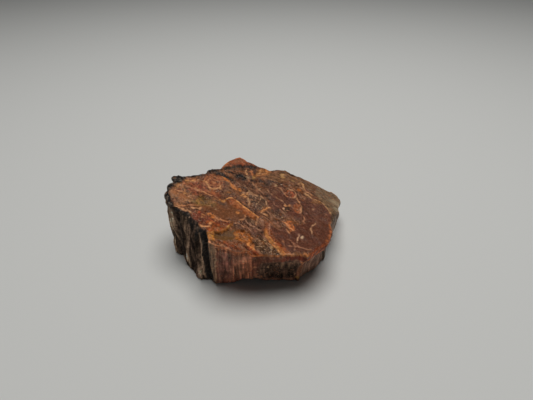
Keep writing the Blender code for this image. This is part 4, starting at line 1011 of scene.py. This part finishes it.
def wall(angle, share):
    """Points of the sides, at an azimuth and a share of the height from foot to rim."""
    way = np.radians(angle)
    rim = outline_radius(RIM, angle)
    foot = outline_radius(FOOT, angle)
    edge = rim - bark_depth(angle, 1.0)
    rim_height = top_height(edge * np.cos(way), edge * np.sin(way))
    foot_height = by_azimuth(FOOT_LIFT, angle)
    height = foot_height + (rim_height - foot_height) * share
    radius = foot + (rim - foot) * share
    belt = np.exp(-((share - BELT_SHARE) / BELT_HALF) ** 2) * ramp((1 - share) / 0.1)
    radius = radius + by_azimuth(BELT, angle) * belt
    radius = radius + by_azimuth(WAIST, angle) * np.sin(np.pi * share)
    radius = radius - bark_depth(angle, share) + split_rise(angle, share)
    place = np.stack([radius * np.cos(way), radius * np.sin(way), height / GRAIN_STRETCH], axis=1)
    for number, (size, rough) in enumerate(WALL_ROUGH):
        radius = radius + rough * lumps(place, size, 10 + number) * ramp((1.05 - share) / WALL_EASE)
    points = np.stack([radius * np.cos(way), radius * np.sin(way), height], axis=1)
    radius = radius + side_relief(points, angle, share)
    middle, half, out, low = KNOB
    radius = radius + out * np.exp(-(turn_past(angle, middle) / half) ** 2) * ramp((share - low) / 0.08)
    radius = radius - RIM_IN * ramp((share - 0.975) / 0.025)
    height = height - RIM_DROP * ramp((share - 0.97) / 0.03)
    return np.stack([radius * np.cos(way), radius * np.sin(way), height], axis=1)


def under_height(x, y):
    """Height of the underside: 0 on the flat, and up into shallow hollows and to the foot edge around it."""
    angle = azimuth(x, y)
    lift = by_azimuth(FOOT_LIFT, angle)
    inward = outline_radius(FOOT, angle) - np.hypot(x, y)
    height = lift * (1 - ramp(inward / (FOOT_EASE + FOOT_EASE_PER_LIFT * lift)))
    flat = flat_points(x, y)
    hollow = np.clip(0.5 + lumps(flat, HOLLOW_SIZE, 20), 0, 1)
    height = height + HOLLOW_DEPTH * hollow * ramp(inward / HOLLOW_EASE)
    height = height + 0.12 * np.clip(lumps(flat, 1.9, 21) + 0.2, 0, 1)
    return np.where(inside(x, y, FLAT), 0.04 * np.clip(lumps(flat, 1.5, 22), 0, 1), height)


def wandered(x, y, layers):
    """Places shifted a little by noise, so that drawn outlines have uneven edges."""
    flat = flat_points(x, y)
    return x + layered(flat, layers[0]), y + layered(flat, layers[1])


def flakes(x, y):
    """Small steps of the broken surface: their height, and 1 along their edges and along the foot of each, where
    painted shade is drawn.
    """
    field = 2.3 * lumps(along_rings(x, y, 1.9), 3.4, 90) + 1.1 * lumps(along_rings(x, y, 1.6), 1.5, 91)
    part = field - np.floor(field)
    edge = np.exp(-((part - 0.58) / 0.08) ** 2)
    foot = np.exp(-((part - 0.4) / 0.1) ** 2)
    return 0.28 * steps_of(field, 0.5, 0.16), edge, foot


def top_areas(x, y, wx, wy):
    """The broad colours of the top, how smooth it is, and 1 where it is speckled."""
    colours = plain(RED_BROWN, len(x))
    colours = cover(colours, patches(flat_points(x, y), 7.5, 100, 0.5, 1.4), DARK_BROWN)
    colours = cover(colours, 0.6 * patches(along_rings(x, y, 2.0), 3.6, 101, 0.2, 1.5), WARM_BROWN)
    smooth = np.zeros(len(x))
    speckled = np.zeros(len(x))
    for name, (colour, soft, outline) in TOP_AREAS.items():
        mask = area_mask(wx, wy, outline, soft)
        colours = cover(colours, 0.92 * mask, colour)
        smooth = smooth + (SMOOTH_AREAS.get(name, 0.0) - smooth) * mask
        if name.startswith("speckle"):
            speckled = np.maximum(speckled, mask)
    return colours, smooth, speckled


def top_fibres(x, y, colours, calm, flow):
    """Mottle the top and draw its threads and furrows along the rings: the colours and their relief."""
    flat = flat_points(x, y)
    ring = lumps(along_rings(x, y, 7.0), 0.85, 102) + 0.6 * lumps(along_rings(x, y, 9.0), 0.5, 103)
    height = 0.07 * ring * calm + 0.05 * lumps(flat, 0.6, 104) + 0.09 * lumps(flat, 1.3, 105) * calm
    colours = mottle(colours, layered(flat, TOP_MOTTLE) * (0.35 + 0.65 * calm) + 0.6 * ring * calm)
    threads = cracks(along_rings(x, y, 8.0), 1.5, 109, 0.08) * patches(flat, 3.0, 166, 0.4, 1.6)
    colours = cover(colours, 0.75 * threads * calm * (1 - flow), PALE_THREAD)
    furrows = cracks(along_rings(x, y, 7.0), 1.4, 167, 0.1) * patches(flat, 2.6, 168, 0.4, 1.6)
    return darken(colours, 0.65 * furrows * calm), height - 0.12 * furrows * calm


def top_swirls(x, y, colours, calm, flow):
    """Draw the winding veins on the left of the top, and the round swirl."""
    flat = flat_points(x, y)
    turned = flat_points(x + 1.6 * lumps(flat, 3.2, 160), (y + 1.6 * lumps(flat, 3.2, 161)) * 1.7)
    pale = cracks(turned, 2.6, 162, 0.1) * patches(flat, 3.0, 163, 0.5, 1.5)
    colours = cover(colours, 0.8 * pale * flow * calm, SWIRL_PALE)
    dark = cracks(turned + 9.0, 2.2, 164, 0.16) * patches(flat, 3.4, 165, 0.5, 1.5)
    colours = cover(colours, 0.7 * dark * flow * calm, SWIRL_DARK)
    (px, py), reach, spacing = SWIRL
    from_eye = np.hypot(x - px, y - py) + layered(flat, EYE_WANDER)
    turn = np.sin(2 * np.pi * from_eye / spacing)
    eye = np.exp(-(from_eye / reach) ** 4)
    colours = cover(colours, 0.75 * eye * ramp((turn - 0.1) / 0.6), EYE_PALE)
    return cover(colours, 0.65 * eye * ramp((-turn - 0.2) / 0.6), EYE_DARK)


def top_chips(x, y, colours, calm, speckled, edge, foot):
    """Draw painted shade at the foot of each flake and pale edges on the flakes, and the amber patches and the
    specks between them, which are partly painted glints.
    """
    flat = flat_points(x, y)
    some = patches(flat, 2.2, 110, 0.45, 1.3)
    # Painted shade along the foot of each flake's step
    colours = darken(colours, 0.6 * foot * calm * some)
    colours = cover(colours, 0.65 * edge * calm * some, CREAM)
    colours = cover(colours, 0.3 * specks(flat, 1.6, 111, 0.3, 0.4) * calm, AMBER)
    # Pale specks in the speckled areas, partly the stone's own and partly painted glints
    colours = cover(colours, 0.85 * specks(flat, 0.75, 112, 0.36, 0.14) * speckled, SPECK_AND_GLINT)
    return darken(colours, 0.42 * specks(flat, 0.9, 113, 0.3, 0.25) * np.maximum(speckled, 0.35 * calm))


def top_marks(x, y, wx, wy, colours):
    """Draw the veins, seams and spots of the top: the colours and their relief."""
    height = np.zeros(len(x))
    wobble = lumps(flat_points(x, y), 1.1, 114)
    for colour, half, strength, lift, line in TOP_LINES.values():
        wear = LINE_WEAR if max(colour) > PALE_FROM else SEAM_WEAR
        mask = line_mask(wx, wy, line, half * LINE_WIDEN, wobble, wear)
        colours = cover(colours, np.clip(LINE_STRENGTH * strength * mask, 0, 1), lightened(colour))
        height = height + lift * mask
    for colour, radius, (px, py) in TOP_SPOTS.values():
        mask = ramp(1.25 - np.hypot(wx - px, wy - py) / radius)
        colours = cover(colours, 0.95 * mask, colour)
        height = height + 0.06 * mask * min(radius, 1.0)
    return colours, height


def top_look(x, y):
    """Fine height, colour, crust, gloss and flecks of the top at places in plan."""
    flat = flat_points(x, y)
    wx, wy = wandered(x, y, AREA_WANDER)
    colours, smooth, speckled = top_areas(x, y, wx, wy)
    calm = 1 - CALM * smooth
    flow = ramp(0.5 - (x - FLOW_CORNER[0]) / FLOW_EDGE) * ramp(0.5 + (y - FLOW_CORNER[1]) / FLOW_EDGE)
    colours, fibres = top_fibres(x, y, colours, calm, flow)
    colours = top_swirls(x, y, colours, calm, flow)
    rise, edge, foot = flakes(x, y)
    colours = top_chips(x, y, colours, calm, speckled, edge, foot)
    colours, marks = top_marks(x, y, wx, wy, colours)

    crust = np.max([area_mask(wx, wy, outline, 0.45) for outline in TOP_CRUST.values()], axis=0)
    crust = crust * patches(flat, 1.6, 115, 1.25, 1.3)
    black = cover(plain(CRUST_BLACK, len(x)), specks(flat, 1.0, 116, 0.02, 0.3), CRUST_GREY)
    colours = blend(colours, crust, black)
    height = rise * calm + fibres + marks
    height = height + crust * (0.25 + layered(flat, CRUST_RELIEF))
    gloss = np.clip(0.55 + 0.25 * smooth - 0.5 * crust + 0.2 * lumps(flat, 1.8, 119), 0, 1)
    # How many pale flecks show, which are partly painted glints
    fleck = np.clip((0.25 + 0.75 * calm * patches(flat, 4.0, 170, 0.4, 1.4)) * (1 - 0.7 * crust), 0, 1)
    return height, richer(colours) * TOP_GAIN, crust, gloss, fleck


def marks_at(outline):
    """Marks of the sides, in millimetres round them and up them."""
    return [(angle * PER_DEGREE, share * PER_SHARE) for angle, share in outline]


def side_area(around, outline, soft):
    """1 inside an outline of the sides, falling to 0 outside over a soft edge."""
    return area_mask(*around, marks_at(outline), soft)


def split_look(around, points, angle, share, wobble):
    """Colours of the split sides, and how much of their mottle shows."""
    fibre = grain(points, angle, share, 12.0)
    colours = plain(SIDE_BROWN, len(angle))
    colours = cover(colours, patches(fibre, 5.0, 123, 0.5, 1.3), SIDE_DARK)
    for colour, soft, outline in SIDE_AREAS.values():
        colours = cover(colours, 0.94 * side_area(around, outline, soft), colour)
    rough = np.ones(len(angle))
    for name, smooth in SMOOTH_SIDES.items():
        rough = rough * (1 - smooth * side_area(around, SIDE_AREAS[name][2], 0.8))
    shade = layered(fibre, SIDE_STREAKS) + layered(points, SIDE_PATCHES)
    colours = mottle(colours, shade * SIDE_MOTTLE * (0.4 + 0.6 * rough))
    threads = cracks(fibre, 1.5, 138, 0.12) * patches(points, 2.5, 139, 0.4, 1.0)
    colours = cover(colours, 0.5 * threads * rough, SIDE_PALE)
    colours = darken(colours, 0.5 * cracks(fibre, 1.2, 128, 0.14) * rough)

    facet = side_area(around, SIDE_AREAS["dark facet"][2], 0.8)
    crumbs = specks(points, 0.8, 159, 0.3, 0.12) * patches(points, 2.4, 172, 0.4, 1.8)
    colours = cover(colours, 0.6 * crumbs * facet, SIDE_PALE)
    clefts = cracks(fibre, 2.0, 173, 0.16) * patches(points, 2.2, 174, 0.5, 1.6)
    colours = darken(colours, 0.6 * clefts * facet)
    bits = specks(points, 0.9, 136, 0.46, 0.12) * patches(points, 3.0, 137, 0.3, 1.5)
    colours = cover(colours, 0.6 * bits * rough, AMBER)
    for colour, half, strength, line in SIDE_LINES.values():
        mask = line_mask(*around, marks_at(line), half, wobble, LINE_WEAR)
        colours = cover(colours, np.clip(SIDE_STRENGTH * strength * mask, 0, 1), colour)
    for colour, radius, place in SIDE_SPOTS.values():
        [(px, py)] = marks_at([place])
        gap = np.hypot(around[0] - px, around[1] - py)
        colours = cover(colours, 0.9 * ramp(1.25 - gap / radius), colour)
    return colours


def bark_look(around, points, angle, share, wobble):
    """Colours of the bark: pale ridges, dark grooves and flanks with painted shade in the grooves, the black
    band, strands, and cracks darkened with painted shade.
    """
    depth = bark_depth(angle, share)
    fibre = grain(points, angle, share, 12.0)
    long = grain(points, angle, share, 14.0)
    tone = lumps(fibre, 1.6, 130) + 0.8 * lumps(grain(points, angle, share, 6.0), 1.0, 131)
    colours = plain(BARK_FLANK, len(angle))
    colours = cover(colours, ramp(0.35 - 0.9 * depth + 0.3 * tone), BARK_RIDGE)
    # Painted shade: darker the deeper the groove
    colours = cover(colours, ramp((depth - 0.5) / 1.2 + 0.25 * tone), BARK_GROOVE_SHADE)
    band = side_area(around, BLACK_BAND, 0.35)
    colours = cover(colours, 0.9 * band, BARK_BLACK)
    for colour, strength, outline in BARK_COLUMNS:
        colours = cover(colours, strength * side_area(around, outline, 0.4), colour)
    deep, shallow = [side_area(around, outline, 0.35) for outline in DARK_GROOVES]
    # Painted shade in the deepest groove
    colours = cover(colours, 0.95 * deep, BARK_DEEP_SHADE)
    colours = cover(colours, 0.8 * shallow, BARK_DARK)
    streak = 1.2 * tone + 2.1 * lumps(long, 0.6, 154) + 1.2 * lumps(points, 0.7, 155)
    colours = mottle(colours, streak) * BARK_GAIN
    strands = cracks(long, 1.1, 152, 0.13) * patches(points, 2.6, 153, 0.5, 1.4)
    colours = cover(colours, 0.8 * strands * (1 - 0.8 * band) * (1 - 0.75 * shallow), BARK_STRAND)
    colours = darken(colours, 0.5 * cracks(long + 7.0, 0.8, 157, 0.14))
    colours = cover(colours, 0.5 * band, BARK_BLACK)
    colours = cover(colours, 0.5 * band * specks(points, 0.8, 156, 0.25, 0.2), CRUST_GREY)
    # Painted shade in the cracks between the fibres
    colours = cover(colours, 0.85 * bark_cracks(points, angle, share), BARK_GROOVE_SHADE)
    for name in BARK_LINES:
        colour, half, strength, line = SIDE_LINES[name]
        mask = line_mask(*around, marks_at(line), half, wobble, 0.3)
        colours = cover(colours, np.clip(1.3 * strength * mask, 0, 1), colour)
    return colours


def side_look(points, angle, share):
    """Colour, crust, gloss and flecks of the sides."""
    around = wandered(angle * PER_DEGREE, share * PER_SHARE, SIDE_WANDER)
    wobble = lumps(points, 1.3, 129)
    bark = bark_share(angle, share)
    colours = split_look(around, points, angle, share, wobble)
    colours = blend(colours, bark, bark_look(around, points, angle, share, wobble))

    start = by_azimuth(CRUST_FROM, angle) + 0.16 * lumps(points, 1.6, 132)
    crust = bark * ramp((share - start) / 0.08) * patches(points, 1.2, 133, 1.0, 1.6)
    grey = specks(points, 1.2, 134, -0.05, 0.4) * ramp((GREY_END - angle) / GREY_FADE)
    colours = blend(colours, 0.9 * crust, cover(plain(CRUST_BLACK, len(angle)), grey, CRUST_GREY))
    gloss = np.clip(0.42 * (1 - bark) + 0.2 * lumps(points, 2.0, 135), 0, 1)
    gloss = np.maximum(gloss, 0.9 * side_area(around, SIDE_AREAS["red belt"][2], 0.6) * (1 - bark))
    fleck = 0.3 + 0.7 * patches(points, 3.0, 158, 0.3, 1.6) * (1 - bark)
    return colours * SIDE_GAIN, np.maximum(crust, bark), gloss, fleck


def under_look(x, y):
    """Colour, crust, gloss and flecks of the underside, which the photograph hides."""
    flat = flat_points(x, y)
    wide = along_rings(x, y, 2.0)
    colours = plain(RED_BROWN, len(x))
    colours = cover(colours, patches(wide, 6.0, 140, 0.5, 1.8), SIDE_DARK)
    colours = cover(colours, 0.7 * specks(wide, 2.8, 141, 0.05, 0.3), WARM_BROWN)
    colours = cover(colours, 0.7 * specks(flat, 3.6, 143, 0.2, 0.15), UNDER_STAIN)
    colours = mottle(colours, 0.9 * lumps(flat, 1.6, 142) + 1.2 * lumps(along_rings(x, y, 6.0), 1.5, 144))
    colours = darken(colours, 0.6 * cracks(along_rings(x, y, 4.0), 2.4, 146, 0.08))
    some = patches(flat, 4.0, 147, 0.4, 1.6)
    colours = cover(colours, 0.7 * some * cracks(along_rings(x, y, 3.0), 3.4, 145, 0.06), CREAM)
    colours = cover(colours, 0.6 * specks(flat, 1.5, 148, 0.34, 0.12), AMBER)
    angle = azimuth(x, y)
    near_edge = ramp(1.3 - (outline_radius(FOOT, angle) - np.hypot(x, y)) / 2.4 + lumps(flat, 2.0, 149))
    bark = bark_share(angle, np.zeros(len(x))) * near_edge
    colours = cover(colours, 0.9 * bark, BARK_FLANK)
    return colours * UNDER_GAIN, bark, np.full(len(x), 0.25), np.full(len(x), 0.4)


def column_azimuths():
    """The azimuths of the columns of the sides, closer together where the photograph shows them."""
    angles = []
    for start, end in zip(RIM, RIM[1:] + RIM[:1]):
        step = SIDE_STEP if SEEN[0] < azimuth(*end) < SEEN[1] else BACK_STEP
        angles += [azimuth(*point) for point in spaced([start, end], step)[:-1]]
    return np.sort(np.array(angles))


def staggered(step, outline, margin):
    """Staggered places inside an outline, clear of its edge."""
    x, y = np.meshgrid(np.arange(-REACH[0], REACH[0], step), np.arange(-REACH[1], REACH[1], step * ROW_SPACING))
    x = x + np.where(np.arange(len(x)) % 2, step / 2, 0)[:, None]
    x, y = x.ravel(), y.ravel()
    keep = inside(x, y, outline)
    x, y = x[keep], y[keep]
    keep = outline_radius(outline, azimuth(x, y)) - np.hypot(x, y) > margin
    return x[keep], y[keep]


def fill(edge, x, y, ids, first):
    """Triangles inside a closed edge of numbered points; the places inside are numbered from first on."""
    points = edge + list(zip(x, y))
    found, _, faces, _, _, _ = delaunay_2d_cdt(points, [], [list(range(len(edge)))], 1, 1e-7)
    if len(found) != len(points):
        raise ValueError("the fill made places of its own")
    numbers = np.concatenate([ids, first + np.arange(len(x))])
    return [[int(numbers[i]) for i in face] for face in faces]


def build_surface():
    """The closed surface in millimetres: points, faces, colours, and numbers for crust, gloss and flecks."""
    angles = column_azimuths()
    count = len(angles)
    ids = np.arange(count)
    after = (ids + 1) % count
    angle_grid = np.tile(angles, WALL_ROWS + 1)
    share_grid = np.repeat(np.linspace(0.0, 1.0, WALL_ROWS + 1), count)
    side_points = wall(angle_grid, share_grid)
    side = side_look(side_points, angle_grid, share_grid)
    faces = []
    for low in range(0, WALL_ROWS * count, count):
        high = low + count
        faces += np.stack([low + ids, low + after, high + after, high + ids], axis=1).tolist()

    rim_ids = WALL_ROWS * count + ids
    rim_line = [tuple(p) for p in side_points[rim_ids, :2]]
    tx, ty = staggered(TOP_STEP, rim_line, RIM_CLEAR)
    faces += fill(rim_line, tx, ty, rim_ids, len(side_points))
    relief, *top = top_look(tx, ty)
    from_rim = outline_radius(rim_line, azimuth(tx, ty)) - np.hypot(tx, ty)
    heights = top_height(tx, ty) + relief * ramp(from_rim / RELIEF_EASE) - RIM_DROP * np.exp(-from_rim / 0.35)
    side[0][rim_ids] = 0.4 * side[0][rim_ids] + 0.6 * top_look(*np.array(rim_line).T)[1]

    foot_line = [tuple(p) for p in side_points[ids, :2]]
    bx, by = staggered(UNDER_STEP, foot_line, FOOT_CLEAR)
    under_faces = fill(foot_line, bx, by, ids, len(side_points) + len(tx))
    faces += [face[::-1] for face in under_faces]

    points = np.concatenate([
        side_points,
        np.stack([tx, ty, heights], axis=1),
        np.stack([bx, by, under_height(bx, by)], axis=1),
    ])
    colours, crust, gloss, fleck = [np.concatenate(parts) for parts in zip(side, top, under_look(bx, by))]
    return points, faces, np.clip(colours, DARKEST, LIGHTEST), {"crust": crust, "gloss": gloss, "fleck": fleck}


def fit(points):
    """Set drawn points in metres in the solid's frame, kept inside its box."""
    low, high = (np.array(corner) for corner in cad_box)
    placed = (points - np.array([*DRAWN_MIDDLE, 0.0])) * (high - low) / np.array(DRAWN_SIZE)
    return np.clip(placed, low, high)


def new_node(tree, kind, inputs, **settings):
    """A node with its settings; each input is given a value, or another node's output to link to."""
    node = tree.nodes.new("ShaderNode" + kind)
    for name, value in settings.items():
        setattr(node, name, value)
    set_inputs(tree, node, inputs)
    return node


def set_inputs(tree, node, inputs):
    """Give inputs of a node their values, or link them to outputs."""
    for name, value in inputs.items():
        if isinstance(value, bpy.types.NodeSocket):
            tree.links.new(value, node.inputs[name])
        else:
            node.inputs[name].default_value = value


def new_material(name):
    """A material, with its node tree and its shader."""
    material = bpy.data.materials.new(name)
    material.use_nodes = True
    return material, material.node_tree, material.node_tree.nodes["Principled BSDF"]


def stone_material():
    """Waxy agate and dull bark: the drawn colours, broken up by fine noise, with matching gloss and bump."""
    material, tree, shader = new_material("petrified_wood")
    place = new_node(tree, "TexCoord", {}).outputs["Object"]
    tint, crust, gloss, fleck = [
        new_node(tree, "Attribute", {}, attribute_name=name) for name in ("tint", "crust", "gloss", "fleck")]

    grit = new_node(tree, "TexNoise", {"Vector": place, "Scale": GRIT_SCALE, "Detail": 5.0, "Roughness": 0.62})
    grit = grit.outputs["Fac"]
    shade = new_node(tree, "MapRange", {
        "Value": grit, "From Min": 0.3, "From Max": 0.7, "To Min": 1 - GRIT_SHADE, "To Max": 1 + GRIT_SHADE})
    mottled = new_node(tree, "VectorMath", {0: tint.outputs["Color"], "Scale": shade.outputs["Result"]},
                       operation="SCALE")
    # Pale flecks, partly the stone's own and partly painted glints
    flecks = new_node(tree, "TexNoise", {"Vector": place, "Scale": FLECK_SCALE, "Detail": 2.0})
    flecks = new_node(tree, "MapRange", {
        "Value": flecks.outputs["Fac"], "From Min": 0.6, "From Max": 0.68, "To Max": FLECK_STRENGTH})
    some = new_node(tree, "Math", {0: flecks.outputs["Result"], 1: fleck.outputs["Fac"]}, operation="MULTIPLY")
    pale = new_node(tree, "Mix", {}, data_type="RGBA")
    set_inputs(tree, pale, {
        "Factor": some.outputs["Value"], 6: mottled.outputs["Vector"], 7: (*(linear(FLECK) * TOP_GAIN), 1.0)})

    dull = new_node(tree, "MapRange", {
        "Value": gloss.outputs["Fac"], "To Min": DULL_ROUGH, "To Max": WAXY_ROUGH})
    rough = new_node(tree, "Math", {0: crust.outputs["Fac"], 1: CRUST_ROUGH, 2: dull.outputs["Result"]},
                     operation="MULTIPLY_ADD")
    uneven = new_node(tree, "Math", {0: grit, 1: GRIT_ROUGH, 2: rough.outputs["Value"]},
                      operation="MULTIPLY_ADD", use_clamp=True)
    bump = new_node(tree, "Bump", {"Height": grit, "Distance": BUMP_DEPTH, "Strength": 0.6})
    set_inputs(tree, shader, {
        "Base Color": pale.outputs[2], "Roughness": uneven.outputs["Value"], "Normal": bump.outputs["Normal"],
        "Specular IOR Level": SPECULAR})
    return material


def new_object(name, data):
    """An object in the scene."""
    made = bpy.data.objects.new(name, data)
    bpy.context.scene.collection.objects.link(made)
    return made


def make_stone():
    """The dressed stone, in place of its solid."""
    points, faces, colours, values = build_surface()
    mesh = bpy.data.meshes.new("petrified_wood_surface")
    mesh.from_pydata(fit(points).tolist(), [], faces)
    layer = mesh.attributes.new("tint", "FLOAT_COLOR", "POINT")
    layer.data.foreach_set("color", np.concatenate([colours, np.ones((len(colours), 1))], axis=1).ravel())
    for name, numbers in values.items():
        layer = mesh.attributes.new(name, "FLOAT", "POINT")
        layer.data.foreach_set("value", np.asarray(numbers, dtype=np.float32))
    mesh.materials.append(stone_material())
    mesh.validate()
    mesh.shade_smooth()
    mesh.set_sharp_from_angle(angle=math.radians(SHARP_FROM))
    stone = new_object("petrified_wood_surface", mesh)
    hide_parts("petrified_wood")
    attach(stone, "root")


def make_floor():
    """A pale sheet of paper."""
    material, tree, shader = new_material("pale_paper")
    set_inputs(tree, shader, {
        "Base Color": (*PAPER, 1.0), "Roughness": PAPER_ROUGH, "Specular IOR Level": SPECULAR})
    mesh = bpy.data.meshes.new("floor")
    mesh.from_pydata([(x, y, 0.0) for y in PAPER_DEPTH for x in PAPER_WIDTH], [], [(0, 1, 3, 2)])
    mesh.materials.append(material)
    new_object("floor", mesh)


def make_lights():
    """Round soft lamps that shine on the stone, and a faint sky."""
    for name, (place, size, power) in LAMPS.items():
        data = bpy.data.lights.new(name, "AREA")
        data.shape = "DISK"
        data.size = size
        data.energy = power
        light = new_object(name, data)
        light.location = place
        x, y, z = place
        light.rotation_euler = (math.atan2(math.hypot(x, y), z), 0.0, math.atan2(-y, -x) - math.pi / 2)
    world = bpy.data.worlds.new("soft")
    world.use_nodes = True
    set_inputs(world.node_tree, world.node_tree.nodes["Background"], {"Color": SKY, "Strength": SKY_STRENGTH})
    bpy.context.scene.world = world


def make_camera():
    """The photograph's view, from the front and above."""
    data = bpy.data.cameras.new("camera")
    data.sensor_width = SENSOR
    data.lens = FOCAL_PIXELS / IMAGE_WIDTH * SENSOR
    data.clip_start = 0.005
    data.clip_end = 20.0
    camera = new_object("camera", data)
    camera.location = CAMERA_PLACE
    camera.rotation_euler = (math.radians(90.0 - LOOK_DOWN), 0.0, 0.0)
    bpy.context.scene.camera = camera


make_camera()
make_stone()
make_floor()
make_lights()
bpy.context.scene.view_settings.view_transform = "Standard"
